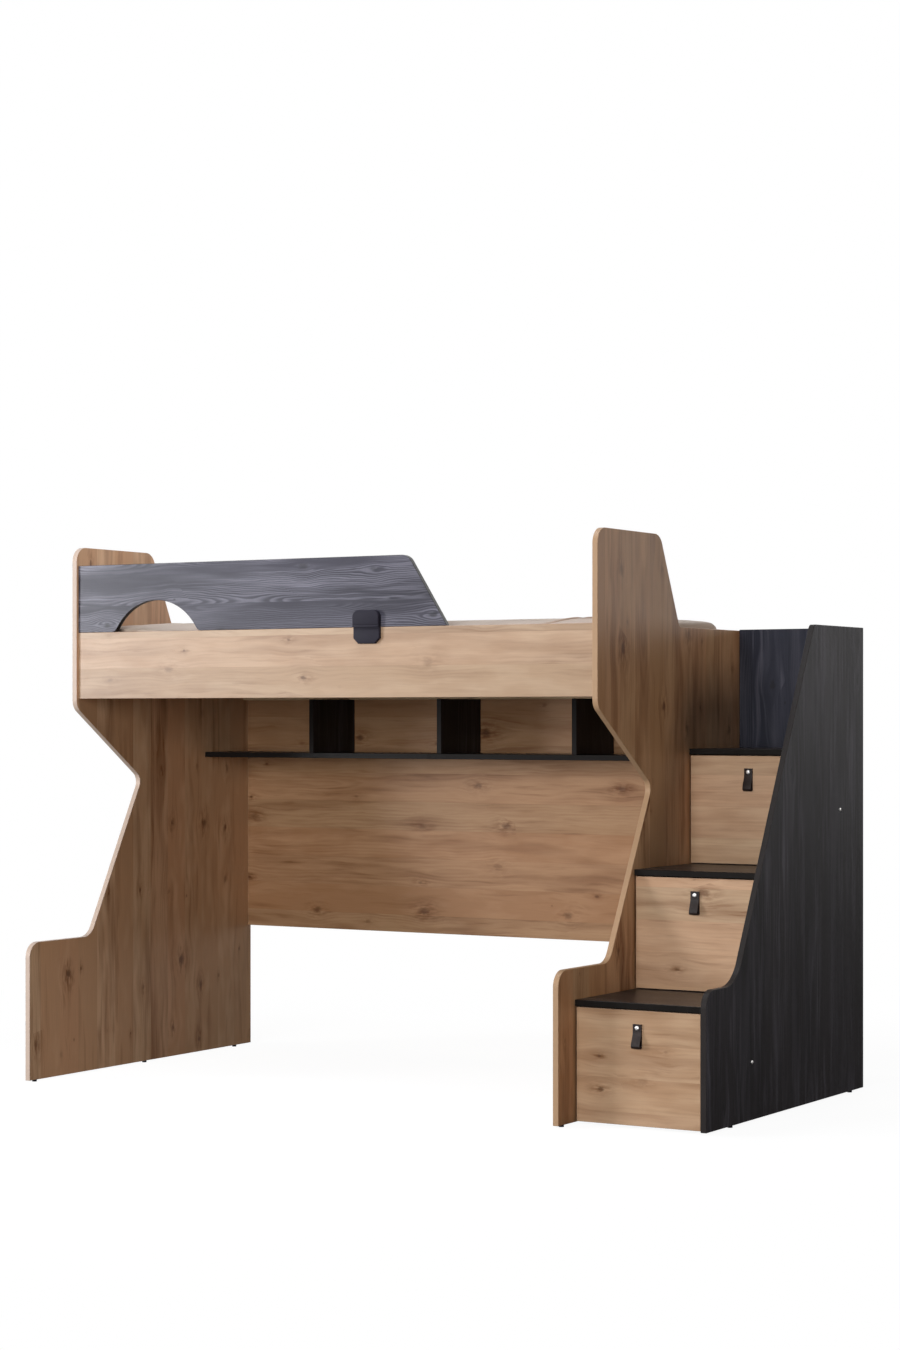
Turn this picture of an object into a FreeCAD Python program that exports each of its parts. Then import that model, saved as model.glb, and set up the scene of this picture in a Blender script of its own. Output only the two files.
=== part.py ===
import FreeCAD, Part
import math
import os
import Sketcher

# Loft bunk bed with stairs of drawers, in millimetres.
# +Z is up from the floor, +X runs along the bed towards the stairs and -Y is the open front.
# The origin is on the floor under the middle of the whole bed.

DOC = FreeCAD.newDocument("bunk_bed")
SHEET = DOC.addObject("Spreadsheet::Sheet", "Sizes")

# Driving sizes: heights of boards are counted from the boards' lower edge, just above the floor
DRIVING_SIZES = [
    # Boards, edges and clearances
    ("board", 18),
    ("edge_break", 1),
    ("running_gap", 0.3),
    # The two end panels and their stepped outline, seen from the stairs' side
    ("inner_length", 1920),
    ("panel_depth", 1236),
    ("panel_height", 1730),
    ("entry_drop", 280),
    ("slope_reach", 782),
    ("top_reach", 650),
    ("front_setback", 240),
    ("overhang_drop", 29),
    ("knee_setback", 593),
    ("knee_drop", 240),
    ("foot_reach", 315),
    ("foot_height", 444),
    ("entry_hollow", 20),
    ("shoulder_round", 50),
    ("crown_round", 48),
    ("overhang_round", 45),
    ("knee_round", 35),
    ("foot_hollow", 60),
    ("foot_round", 48),
    # Bed rails
    ("bed_drop", 282),
    ("rail_height", 217),
    ("rail_setback", 9),
    # Guard board with its slanted end and the round window at its lower edge
    ("guard_height", 220),
    ("guard_length", 1277),
    ("guard_slant", 140),
    ("guard_round", 40),
    ("window_centre", 318),
    ("window_radius", 186),
    ("window_height", 101),
    ("window_hollow", 25),
    # Moulded bracket across the joint of guard and rail, screwed on from the bed's side
    ("bracket_centre", 1132),
    ("bracket_width", 96),
    ("bracket_head", 53),
    ("bracket_tail", 51),
    ("bracket_head_depth", 16),
    ("bracket_tail_depth", 10),
    ("bracket_round", 22),
    ("bracket_corner", 17),
    ("bracket_bar", 13),
    ("bracket_groove", 2),
    ("bracket_edge", 2),
    ("bracket_screw_offset", 28),
    ("bracket_screw_head", 9),
    ("bracket_screw_cap", 2.5),
    ("bracket_screw_shank", 4),
    ("bracket_screw_bite", 6),
    # Back panel, shelf and dividers
    ("back_panel_bottom", 424),
    ("shelf_space", 183),
    ("shelf_depth", 261),
    ("divider_spacing", 512),
    # Bed base
    ("ledge_width", 30),
    ("ledge_height", 30),
    ("slat_thickness", 18),
    ("slat_width", 70),
    ("slat_margin", 25),
    ("slat_end_gap", 2),
    ("slat_count", 13),
    # Mattress of 1900 by 900, which fits between the panels and rails with these gaps
    ("mattress_end_gap", 10),
    ("mattress_side_gap", 21.5),
    ("mattress_side", 190),
    ("mattress_crown", 15),
    ("mattress_flat", 300),
    ("mattress_roll", 30),
    ("mattress_round", 90),
    ("mattress_waist", 8),
    # Stairs
    ("stair_width", 404),
    ("side_setback", 95),
    ("side_rise", 3),
    ("side_top_depth", 384),
    ("side_foot_reach", 295),
    ("side_foot_height", 400),
    ("side_top_round", 20),
    ("side_foot_hollow", 120),
    ("side_foot_round", 50),
    ("tread_setback", 100),
    ("tread_height", 354),
    ("tread_rise", 359),
    ("top_tread_depth", 368),
    # Drawers and their slides
    ("front_reveal", 3),
    ("front_side_reveal", 4),
    ("front_recess", 3),
    ("box_board", 16),
    ("box_height", 220),
    ("bottom_sheet", 4),
    ("long_slide", 500),
    ("top_drawer_space", 47),
    ("slide_space", 12.7),
    ("slide_height", 35),
    ("slide_wall", 1.5),
    ("slide_overlap", 2.5),
    # Leather loop pulls and their screws
    ("pull_width", 28),
    ("pull_height", 70),
    ("pull_depth", 17),
    ("pull_leather", 2.4),
    ("pull_bend", 7.6),
    ("pull_clamp", 24),
    ("pull_drop", 39),
    ("pull_screw_drop", 11),
    ("pull_screw_head", 13),
    ("pull_screw_cap", 3),
    ("pull_screw_shank", 4),
    ("pull_screw_bite", 14),
    ("pin_bevel", 1.2),
    ("pin_clearance", 0.2),
    # Cam fittings, slide bolts and floor glides
    ("cam_diameter", 15),
    ("cam_depth", 12.5),
    ("cam_inset", 34),
    ("cam_spread", 100),
    ("bolt_head", 11),
    ("bolt_cap", 3),
    ("bolt_shank", 5),
    ("low_bolt_reach", 300),
    ("high_bolt_reach", 200),
    ("glide_height", 6),
    ("glide_diameter", 15),
    ("glide_front_inset", 35),
    ("glide_back_inset", 90),
    ("stair_glide_inset", 175),
]
for row, (alias, amount) in enumerate(DRIVING_SIZES, 1):
    SHEET.set(f"A{row}", alias)
    SHEET.set(f"B{row}", str(amount))
    SHEET.setAlias(f"B{row}", alias)
DOC.recompute()

# Faces that several pieces share, as expressions on the driving sizes
OVERALL = "(3 * Sizes.board + Sizes.inner_length + Sizes.stair_width + Sizes.bolt_cap)"
LEFT_OUTER = f"(-{OVERALL} / 2)"
LEFT_INNER = f"({LEFT_OUTER} + Sizes.board)"
RIGHT_INNER = f"({LEFT_INNER} + Sizes.inner_length)"
RIGHT_OUTER = f"({RIGHT_INNER} + Sizes.board)"
STAIR_INNER = f"({RIGHT_OUTER} + Sizes.stair_width)"
STAIR_OUTER = f"({STAIR_INNER} + Sizes.board)"
STAIR_MIDDLE = f"({RIGHT_OUTER} + Sizes.stair_width / 2)"
FRONT = "(-Sizes.panel_depth / 2)"
BACK = "(Sizes.panel_depth / 2)"
BACK_INNER = f"({BACK} - Sizes.board)"
LOW = "Sizes.glide_height"
RAIL_FRONT = f"({FRONT} + Sizes.front_setback + Sizes.rail_setback)"
RAIL_INNER = f"({RAIL_FRONT} + Sizes.board)"
RAIL_TOP = f"({LOW} + Sizes.panel_height - Sizes.bed_drop)"
RAIL_BOTTOM = f"({RAIL_TOP} - Sizes.rail_height)"
SHELF_TOP = f"({RAIL_BOTTOM} - Sizes.shelf_space)"
LEDGE_TOP = f"({RAIL_BOTTOM} + Sizes.ledge_height)"
SLAT_TOP = f"({LEDGE_TOP} + Sizes.slat_thickness)"
BRACKET_X = f"({LEFT_INNER} + Sizes.bracket_centre)"

NODES = []


def number(expression):
    """The value of an expression on the driving sizes."""
    return float(SHEET.evalExpression(expression))


def keep(piece):
    """Mark a document object as one of the bed's sub-parts."""
    NODES.append(piece)
    return piece


def put(piece, corner):
    """Bind the place of a piece to three expressions."""
    for axis, expression in zip("xyz", corner):
        piece.setExpression(f"Placement.Base.{axis}", expression)


def new_body(label, corner):
    """An empty body whose own origin lies at the corner."""
    body = DOC.addObject("PartDesign::Body", label)
    body.Label = label
    put(body, corner)
    return body


def origin_feature(body, role):
    """One of the body's own origin planes or axes."""
    return next(feature for feature in body.Origin.OriginFeatures if feature.Role == role)


def new_sketch(body, role, offset=None):
    """A sketch on one of the body's origin planes, or at an offset along its normal."""
    sketch = body.newObject("Sketcher::SketchObject", body.Name + "_sketch")
    sketch.AttachmentSupport = (origin_feature(body, role), [""])
    sketch.MapMode = "FlatFace"
    if offset:
        sketch.setExpression("AttachmentOffset.Base.z", offset)
    return sketch


def pin_point(sketch, element, end, place):
    """Hold a sketch point at a pair of expressions, on an axis where one of them is zero."""
    for kind, axis, expression in (("DistanceX", -2, place[0]), ("DistanceY", -1, place[1])):
        if expression == "0":
            sketch.addConstraint(Sketcher.Constraint("PointOnObject", element, end, axis))
            continue
        distance = Sketcher.Constraint(kind, -1, 1, element, end, number(expression))
        index = sketch.addConstraint(distance)
        sketch.setExpression(f"Constraints[{index}]", expression)


def draw_outline(sketch, corners):
    """A closed outline of straight lines through corners given as pairs of expressions."""
    points = [FreeCAD.Vector(number(u), number(v), 0) for u, v in corners]
    count = len(points)
    first = sketch.GeometryCount
    for index, point in enumerate(points):
        sketch.addGeometry(Part.LineSegment(point, points[(index + 1) % count]))
    for index in range(count):
        following = first + (index + 1) % count
        sketch.addConstraint(Sketcher.Constraint("Coincident", first + index, 2, following, 1))
    for index, corner in enumerate(corners):
        pin_point(sketch, first + index, 1, corner)


def draw_circle(sketch, centre, diameter):
    """A circle held by its centre and diameter."""
    middle = FreeCAD.Vector(number(centre[0]), number(centre[1]), 0)
    element = sketch.addGeometry(Part.Circle(middle, FreeCAD.Vector(0, 0, 1), number(diameter) / 2))
    pin_point(sketch, element, 3, centre)
    index = sketch.addConstraint(Sketcher.Constraint("Diameter", element, number(diameter)))
    sketch.setExpression(f"Constraints[{index}]", diameter)


def pad(body, role, corners, length, reverse=False):
    """Pad a straight-edged outline to a length."""
    sketch = new_sketch(body, role)
    draw_outline(sketch, corners)
    feature = body.newObject("PartDesign::Pad", body.Name + "_pad")
    feature.Profile = sketch
    feature.setExpression("Length", length)
    feature.Reversed = reverse
    DOC.recompute()
    return feature


def pocket(body, sketch, depth, reverse):
    """Cut a sketch into the body to a depth, and make sure that it removes material."""
    before = body.Shape.Volume
    feature = body.newObject("PartDesign::Pocket", body.Name + "_pocket")
    feature.Profile = sketch
    feature.setExpression("Length", depth)
    feature.Reversed = reverse
    DOC.recompute()
    if before - body.Shape.Volume < 1:
        raise ValueError(f"a pocket of {body.Label} cuts nothing")
    return feature


def drill(body, role, centres, diameter, depth, reverse, offset=None):
    """Round holes at several centres, drilled from one plane of the body."""
    sketch = new_sketch(body, role, offset)
    for centre in centres:
        draw_circle(sketch, centre, diameter)
    return pocket(body, sketch, depth, reverse)


def corner_edge(shape, axis, corner):
    """The name of the straight edge along an axis, X or Y, through a corner of the outline."""
    across = {"X": ("y", "z"), "Y": ("x", "z")}[axis]
    target = [number(expression) for expression in corner]
    for index, edge in enumerate(shape.Edges, 1):
        ends = [[getattr(vertex.Point, name) for name in across] for vertex in edge.Vertexes]
        if all(math.dist(end, target) < 0.01 for end in ends):
            return f"Edge{index}"
    raise ValueError(f"no edge of the outline at {corner}")


def round_corners(body, axis, roundings):
    """Round the outline's corners, each with its own radius."""
    for corner, radius in roundings:
        feature = body.newObject("PartDesign::Fillet", body.Name + "_round")
        base = body.Group[-2]
        feature.Base = (base, [corner_edge(base.Shape, axis, corner)])
        feature.setExpression("Radius", radius)
        DOC.recompute()


def bevel_edges(body, chosen, size):
    """Bevel every edge of the body that a test chooses."""
    base = body.Tip
    names = [f"Edge{index}" for index, edge in enumerate(base.Shape.Edges, 1) if chosen(edge)]
    feature = body.newObject("PartDesign::Chamfer", body.Name + "_bevel")
    feature.Base = (base, names)
    feature.setExpression("Size", size)
    DOC.recompute()


def break_edges(body):
    """Take the sharpness off every edge of a board."""
    base = body.Tip
    feature = body.newObject("PartDesign::Chamfer", body.Name + "_edges")
    feature.Base = (base, [""])
    feature.UseAllEdges = True
    feature.setExpression("Size", "Sizes.edge_break")
    DOC.recompute()


def flat_sheet(label, corner, size):
    """A thin rectangular sheet with its lowest corner and its sizes along X, Y and Z."""
    body = keep(new_body(label, corner))
    length, depth, height = size
    pad(body, "XY_Plane", [("0", "0"), (length, "0"), (length, depth), ("0", depth)], height)
    return body


def flat_board(label, corner, size):
    """A rectangular board, which is a thick sheet with its edges broken."""
    body = flat_sheet(label, corner, size)
    break_edges(body)
    return body


def shaped_board(label, corner, outline):
    """An upright board across the bed whose outline is rounded where a corner has a radius."""
    body = keep(new_body(label, corner))
    pad(body, "YZ_Plane", [(along, up) for along, up, radius in outline], "Sizes.board")
    round_corners(body, "X", [((along, up), radius) for along, up, radius in outline if radius])
    break_edges(body)
    return body


def turned_pin(label, corner, role, kind, outward, length):
    """A screw or bolt turned about the sketch's horizontal axis, its bevelled head outwards."""
    head = f"Sizes.{kind}_head / 2"
    cap = f"Sizes.{kind}_cap"
    shank = f"Sizes.{kind}_shank / 2"
    tip = f"{-outward} * ({length})"
    body = new_body(label, corner)
    sketch = new_sketch(body, role)
    draw_outline(sketch, [
        (tip, "0"),
        (tip, shank),
        ("0", shank),
        ("0", head),
        (f"{outward} * ({cap} - Sizes.pin_bevel)", head),
        (f"{outward} * {cap}", f"{head} - Sizes.pin_bevel"),
        (f"{outward} * {cap}", "0"),
    ])
    feature = body.newObject("PartDesign::Revolution", body.Name + "_turn")
    feature.Profile = sketch
    feature.ReferenceAxis = (sketch, ["H_Axis"])
    feature.Angle = 360
    DOC.recompute()
    return body


def group(label, pieces):
    """Identical small pieces kept together under one name, each a solid of its own."""
    compound = keep(DOC.addObject("Part::Compound", label))
    compound.Label = label
    compound.Links = pieces
    return compound


# End panels

ENTRY_UP = "(Sizes.panel_height - Sizes.entry_drop)"
OVERHANG_UP = f"({RAIL_BOTTOM} - {LOW} - Sizes.overhang_drop)"
KNEE_UP = f"({OVERHANG_UP} - Sizes.knee_drop)"
PANEL_OUTLINE = [
    ("0", "0", None),
    ("Sizes.panel_depth", "0", None),
    ("Sizes.panel_depth", ENTRY_UP, None),
    ("Sizes.slope_reach", ENTRY_UP, "Sizes.entry_hollow"),
    ("Sizes.top_reach", "Sizes.panel_height", "Sizes.shoulder_round"),
    ("Sizes.front_setback", "Sizes.panel_height", "Sizes.crown_round"),
    ("Sizes.front_setback", OVERHANG_UP, "Sizes.overhang_round"),
    ("Sizes.knee_setback", KNEE_UP, "Sizes.knee_round"),
    ("Sizes.foot_reach", "Sizes.foot_height", "Sizes.foot_hollow"),
    ("0", "Sizes.foot_height", "Sizes.foot_round"),
]
shaped_board("left_end_panel", (LEFT_OUTER, FRONT, LOW), PANEL_OUTLINE)
shaped_board("right_end_panel", (RIGHT_INNER, FRONT, LOW), PANEL_OUTLINE)

# Cam fittings draw the rails' ends to the panels, flush in the rails' inner faces

CAM_DISCS = []
TURN_TO_REAR = FreeCAD.Rotation(FreeCAD.Vector(1, 0, 0), -90)


def cam_disc(place):
    """One cam disc, lying along Y in its seat."""
    disc = DOC.addObject("Part::Cylinder", f"cam_{len(CAM_DISCS)}")
    disc.Placement = FreeCAD.Placement(FreeCAD.Vector(), TURN_TO_REAR)
    disc.setExpression("Radius", "(Sizes.cam_diameter - Sizes.pin_clearance) / 2")
    disc.setExpression("Height", "Sizes.cam_depth")
    put(disc, place)
    CAM_DISCS.append(disc)


def rail_with_cams(label, corner, rear_face):
    """A bed rail with two cams at each end, in its front or rear face."""
    rail = flat_board(label, corner, ("Sizes.inner_length", "Sizes.board", "Sizes.rail_height"))
    ends = ("Sizes.cam_inset", "(Sizes.inner_length - Sizes.cam_inset)")
    high = "(Sizes.rail_height - Sizes.cam_inset)"
    levels = (f"({high} - Sizes.cam_spread)", high)
    centres = [(along, up) for along in ends for up in levels]
    offset = "-Sizes.board" if rear_face else None
    drill(rail, "XZ_Plane", centres, "Sizes.cam_diameter", "Sizes.cam_depth", rear_face, offset)
    start = f"({corner[1]} + Sizes.board - Sizes.cam_depth)" if rear_face else corner[1]
    for along, up in centres:
        cam_disc((f"{corner[0]} + {along}", start, f"{corner[2]} + {up}"))
    return rail


front_rail = rail_with_cams("front_rail", (LEFT_INNER, RAIL_FRONT, RAIL_BOTTOM), True)
rail_with_cams("rear_rail", (LEFT_INNER, BACK_INNER, RAIL_BOTTOM), False)
group("cam_fittings", CAM_DISCS)

# Guard board: a slanted end, and a round window cut up from its lower edge

GUARD_BOTTOM_LENGTH = "(Sizes.guard_length + Sizes.guard_slant)"
WINDOW_MIDDLE_UP = "(Sizes.window_height - Sizes.window_radius)"
WINDOW_HALF = "sqrt(Sizes.window_radius ^ 2 - (Sizes.window_height - Sizes.window_radius) ^ 2)"
guard = keep(new_body("guard_rail", (LEFT_INNER, RAIL_FRONT, RAIL_TOP)))
GUARD_OUTLINE = [
    ("0", "0"),
    (GUARD_BOTTOM_LENGTH, "0"),
    ("Sizes.guard_length", "Sizes.guard_height"),
    ("0", "Sizes.guard_height"),
]
pad(guard, "XZ_Plane", GUARD_OUTLINE, "Sizes.board", True)
window = new_sketch(guard, "XZ_Plane")
draw_circle(window, ("Sizes.window_centre", WINDOW_MIDDLE_UP), "2 * Sizes.window_radius")
pocket(guard, window, "Sizes.board", False)
GUARD_ROUNDINGS = [
    (("Sizes.guard_length", "Sizes.guard_height"), "Sizes.guard_round"),
    ((f"Sizes.window_centre - {WINDOW_HALF}", "0"), "Sizes.window_hollow"),
    ((f"Sizes.window_centre + {WINDOW_HALF}", "0"), "Sizes.window_hollow"),
]
round_corners(guard, "Y", GUARD_ROUNDINGS)
break_edges(guard)

# Moulded bracket: a thick rounded head, a thinner tail with cut corners and a bar between grooves

bracket = keep(new_body("guard_bracket", (f"{BRACKET_X} - Sizes.bracket_width / 2", RAIL_FRONT,
                                          f"{RAIL_TOP} - Sizes.bracket_tail")))
BRACKET_HEIGHT = "(Sizes.bracket_tail + Sizes.bracket_head)"
HEAD_CORNERS = [
    ("0", BRACKET_HEIGHT),
    ("Sizes.bracket_width", BRACKET_HEIGHT),
]
pad(bracket, "XZ_Plane", [
    ("Sizes.bracket_corner", "0"),
    ("Sizes.bracket_width - Sizes.bracket_corner", "0"),
    ("Sizes.bracket_width", "Sizes.bracket_corner"),
    HEAD_CORNERS[1],
    HEAD_CORNERS[0],
    ("0", "Sizes.bracket_corner"),
], "Sizes.bracket_tail_depth")
pad(bracket, "XZ_Plane", [
    ("0", "Sizes.bracket_tail"),
    ("Sizes.bracket_width", "Sizes.bracket_tail"),
    HEAD_CORNERS[1],
    HEAD_CORNERS[0],
], "Sizes.bracket_head_depth")
round_corners(bracket, "Y", [(corner, "Sizes.bracket_round") for corner in HEAD_CORNERS])


def on_bracket_front(edge):
    """True for the edges of the bracket's two front faces."""
    levels = {-number("Sizes.bracket_head_depth"), -number("Sizes.bracket_tail_depth")}
    heights = {round(vertex.Point.y, 3) for vertex in edge.Vertexes}
    joint = number("Sizes.bracket_tail")
    on_joint = all(abs(vertex.Point.z - joint) < 0.01 for vertex in edge.Vertexes)
    return len(heights) == 1 and heights <= levels and not on_joint


bevel_edges(bracket, on_bracket_front, "Sizes.bracket_edge")
grooves = new_sketch(bracket, "YZ_Plane")
for side in ("-", "+"):
    low = f"Sizes.bracket_tail {side} Sizes.bracket_bar / 2 - Sizes.bracket_groove / 2"
    deep = "-Sizes.bracket_head_depth" if side == "+" else "-Sizes.bracket_tail_depth"
    draw_outline(grooves, [
        (deep, low),
        (f"{deep} + Sizes.bracket_groove", low),
        (f"{deep} + Sizes.bracket_groove", f"{low} + Sizes.bracket_groove"),
        (deep, f"{low} + Sizes.bracket_groove"),
    ])
pocket(bracket, grooves, "Sizes.bracket_width", True)

# A screw through the guard and one through the rail, driven from the bed's side into the bracket

SCREW_HOLE = "(Sizes.bracket_screw_shank + Sizes.pin_clearance)"
SCREW_LENGTH = "Sizes.board + Sizes.bracket_screw_bite"
bracket_screws = []
for board_body, base, side in ((front_rail, RAIL_BOTTOM, "-"), (guard, RAIL_TOP, "+")):
    up = f"({RAIL_TOP} {side} Sizes.bracket_screw_offset)"
    in_board = ("Sizes.bracket_centre", f"{up} - {base}")
    in_bracket = ("Sizes.bracket_width / 2", f"Sizes.bracket_tail {side} Sizes.bracket_screw_offset")
    drill(board_body, "XZ_Plane", [in_board], SCREW_HOLE, "Sizes.board", False)
    drill(bracket, "XZ_Plane", [in_bracket], SCREW_HOLE, "Sizes.bracket_screw_bite", True)
    bracket_screws.append(turned_pin(f"bracket_screw_{len(bracket_screws)}", (BRACKET_X, RAIL_INNER, up),
                                     "YZ_Plane", "bracket_screw", 1, SCREW_LENGTH))
group("bracket_screws", bracket_screws)

# Back panel, shelf and the dividers that stand on it

BACK_PANEL_LOW = f"({LOW} + Sizes.back_panel_bottom)"
BACK_PANEL_HEIGHT = f"({RAIL_BOTTOM} - {BACK_PANEL_LOW})"
BACK_PANEL_CORNER = (LEFT_INNER, BACK_INNER, BACK_PANEL_LOW)
flat_board("back_panel", BACK_PANEL_CORNER, ("Sizes.inner_length", "Sizes.board", BACK_PANEL_HEIGHT))

SHELF_CORNER = (LEFT_INNER, f"{BACK_INNER} - Sizes.shelf_depth", f"{SHELF_TOP} - Sizes.board")
flat_board("shelf_board", SHELF_CORNER, ("Sizes.inner_length", "Sizes.shelf_depth", "Sizes.board"))

for name, place in (("left", -1), ("centre", 0), ("right", 1)):
    middle = f"{LEFT_INNER} + Sizes.inner_length / 2 + {place} * Sizes.divider_spacing"
    flat_board(f"shelf_divider_{name}", (f"{middle} - Sizes.board / 2", SHELF_CORNER[1], SHELF_TOP),
               ("Sizes.board", "Sizes.shelf_depth", "Sizes.shelf_space"))

# Bed base: a ledge along each rail and slats across them

LEDGE_SIZE = ("Sizes.inner_length", "Sizes.ledge_width", "Sizes.ledge_height")
flat_board("front_slat_ledge", (LEFT_INNER, RAIL_INNER, RAIL_BOTTOM), LEDGE_SIZE)
flat_board("rear_slat_ledge", (LEFT_INNER, f"{BACK_INNER} - Sizes.ledge_width", RAIL_BOTTOM), LEDGE_SIZE)

FIRST_SLAT = (f"{LEFT_INNER} + Sizes.slat_margin", f"{RAIL_INNER} + Sizes.slat_end_gap", LEDGE_TOP)
SLAT_LENGTH = f"({BACK_INNER} - {RAIL_INNER} - 2 * Sizes.slat_end_gap)"
slats = flat_board("bed_slats", FIRST_SLAT, ("Sizes.slat_width", SLAT_LENGTH, "Sizes.slat_thickness"))
slats.AllowCompound = True
one_slat = [feature for feature in slats.Group if feature.isDerivedFrom("PartDesign::Feature")]
slat_row = slats.newObject("PartDesign::LinearPattern", "slat_row")
slat_row.Originals = one_slat
slat_row.Direction = (origin_feature(slats, "X_Axis"), [""])
slat_row.Mode = "Extent"
slat_row.setExpression("Length", "Sizes.inner_length - 2 * Sizes.slat_margin - Sizes.slat_width")
slat_row.setExpression("Occurrences", "Sizes.slat_count")
slats.Tip = slat_row
DOC.recompute()


# Mattress: sides drawn in between the corners, a rolled edge and a low crown

MATTRESS_HALF_LENGTH = "(Sizes.inner_length / 2 - Sizes.mattress_end_gap)"
MATTRESS_HALF_WIDTH = f"(({BACK_INNER} - {RAIL_INNER}) / 2 - Sizes.mattress_side_gap)"


def mattress_section(inset, height):
    """One level of the mattress: four shallow inward arcs joined by round corners."""
    half_length = number(MATTRESS_HALF_LENGTH) - inset
    half_width = number(MATTRESS_HALF_WIDTH) - inset
    corner = number("Sizes.mattress_round")
    waist = number("Sizes.mattress_waist")
    diagonal = corner * (1 - math.sqrt(0.5))
    turns = []
    for east, north in ((1, 1), (-1, 1), (-1, -1), (1, -1)):
        side_end = FreeCAD.Vector(east * half_length, north * (half_width - corner), height)
        end_end = FreeCAD.Vector(east * (half_length - corner), north * half_width, height)
        middle = FreeCAD.Vector(east * (half_length - diagonal), north * (half_width - diagonal), height)
        turns.append((side_end, middle, end_end) if east == north else (end_end, middle, side_end))
    curves = []
    for index, turn in enumerate(turns):
        following = turns[(index + 1) % len(turns)]
        curves.append(Part.Arc(*turn))
        side_middle = (turn[2] + following[0]) / 2
        inward = FreeCAD.Vector(-side_middle.x, -side_middle.y, 0).normalize()
        curves.append(Part.Arc(turn[2], side_middle + inward * waist, following[0]))
    return Part.Wire([curve.toShape() for curve in curves])


def mattress_levels():
    """The inset and height of each level: lower edge, upright side, rolled edge and crown."""
    side = number("Sizes.mattress_side")
    roll = number("Sizes.mattress_roll")
    crown_run = number(f"{MATTRESS_HALF_WIDTH} - Sizes.mattress_flat / 2 - Sizes.mattress_roll")
    levels = [(roll, 0), (0, roll)]
    for angle in (0, math.pi / 4, math.pi / 2):
        levels.append((roll - roll * math.cos(angle), side - roll + roll * math.sin(angle)))
    for share in (1 / 2, 1):
        rise = number("Sizes.mattress_crown") * (1 - (1 - share) ** 2)
        levels.append((roll + share * crown_run, side + rise))
    return levels


mattress = keep(DOC.addObject("Part::Feature", "mattress"))
sections = [mattress_section(inset, height) for inset, height in mattress_levels()]
mattress.Shape = Part.makeLoft(sections, True, True)
put(mattress, (f"{LEFT_INNER} + Sizes.inner_length / 2", f"({RAIL_INNER} + {BACK_INNER}) / 2",
               f"{SLAT_TOP} + Sizes.running_gap"))

# Stairs: side board, back board and treads that reach the back board

SIDE_DEPTH = "(Sizes.panel_depth - Sizes.side_setback)"
SIDE_HEIGHT = f"({ENTRY_UP} + Sizes.side_rise)"
SIDE_OUTLINE = [
    ("0", "0", None),
    (SIDE_DEPTH, "0", None),
    (SIDE_DEPTH, SIDE_HEIGHT, None),
    (f"{SIDE_DEPTH} - Sizes.side_top_depth", SIDE_HEIGHT, "Sizes.side_top_round"),
    ("Sizes.side_foot_reach - Sizes.side_setback", "Sizes.side_foot_height", "Sizes.side_foot_hollow"),
    ("0", "Sizes.side_foot_height", "Sizes.side_foot_round"),
]
SIDE_CORNER = (STAIR_INNER, f"{FRONT} + Sizes.side_setback", LOW)
stair_side = shaped_board("stair_side_panel", SIDE_CORNER, SIDE_OUTLINE)
STAIR_BACK_SIZE = ("Sizes.stair_width", "Sizes.board", SIDE_HEIGHT)
flat_board("stair_back_panel", (RIGHT_OUTER, BACK_INNER, LOW), STAIR_BACK_SIZE)

STEPS = ("bottom", "middle", "top")
FIRST_STEP = f"({FRONT} + Sizes.tread_setback)"
LAST_STEP = f"({BACK_INNER} - Sizes.top_tread_depth)"
STEP_RUN = f"(({LAST_STEP} - {FIRST_STEP}) / {len(STEPS) - 1})"


def step_front(step):
    """The front edge of a tread."""
    return f"({FIRST_STEP} + {step} * {STEP_RUN})"


def tread_top(step):
    """The height of a tread's upper face."""
    return f"({LOW} + Sizes.tread_height + {step} * Sizes.tread_rise)"


def opening_floor(step):
    """The level under a drawer: the boards' lower edge, or the tread below."""
    return tread_top(step - 1) if step else LOW


def opening_middle(step):
    """The middle height of a drawer's opening, where its slides run."""
    return f"(({opening_floor(step)} + {tread_top(step)} - Sizes.board) / 2)"


for step, name in enumerate(STEPS):
    flat_board(f"{name}_tread", (RIGHT_OUTER, step_front(step), f"{tread_top(step)} - Sizes.board"),
               ("Sizes.stair_width", f"{BACK_INNER} - {step_front(step)}", "Sizes.board"))


# Drawers: a front, a box of four boards on a sheet, nested slide channels and a leather loop

def channel_pair(label, corner, outline, length):
    """Two mirrored steel channels, one on each side of the drawer's opening."""
    body = keep(new_body(label, corner))
    profile = pad(body, "XZ_Plane", outline, length, True)
    body.AllowCompound = True
    mirror = body.newObject("PartDesign::Mirrored", label + "_pair")
    mirror.Originals = [profile]
    mirror.MirrorPlane = (origin_feature(body, "YZ_Plane"), [""])
    body.Tip = mirror
    DOC.recompute()


def fixed_channel():
    """Section of the channel on the stair's wall, open towards the drawer."""
    wall_face = "Sizes.stair_width / 2"
    lip = f"{wall_face} - Sizes.slide_space + Sizes.slide_overlap"
    web = f"{wall_face} - Sizes.slide_wall"
    top = "Sizes.slide_height"
    under_top = f"{top} - Sizes.slide_wall"
    return [
        (wall_face, "0"),
        (wall_face, top),
        (lip, top),
        (lip, under_top),
        (web, under_top),
        (web, "Sizes.slide_wall"),
        (lip, "Sizes.slide_wall"),
        (lip, "0"),
    ]


def moving_channel():
    """Section of the channel on the drawer's side, nested in the fixed one with a running gap."""
    box_face = "Sizes.stair_width / 2 - Sizes.slide_space"
    lip = "Sizes.stair_width / 2 - Sizes.slide_overlap"
    web = f"{box_face} + Sizes.slide_wall"
    low = "(Sizes.slide_wall + Sizes.running_gap)"
    top = f"(Sizes.slide_height - {low})"
    over_low = f"{low} + Sizes.slide_wall"
    under_top = f"{top} - Sizes.slide_wall"
    return [
        (box_face, low),
        (lip, low),
        (lip, over_low),
        (web, over_low),
        (web, under_top),
        (lip, under_top),
        (lip, top),
        (box_face, top),
    ]


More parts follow.
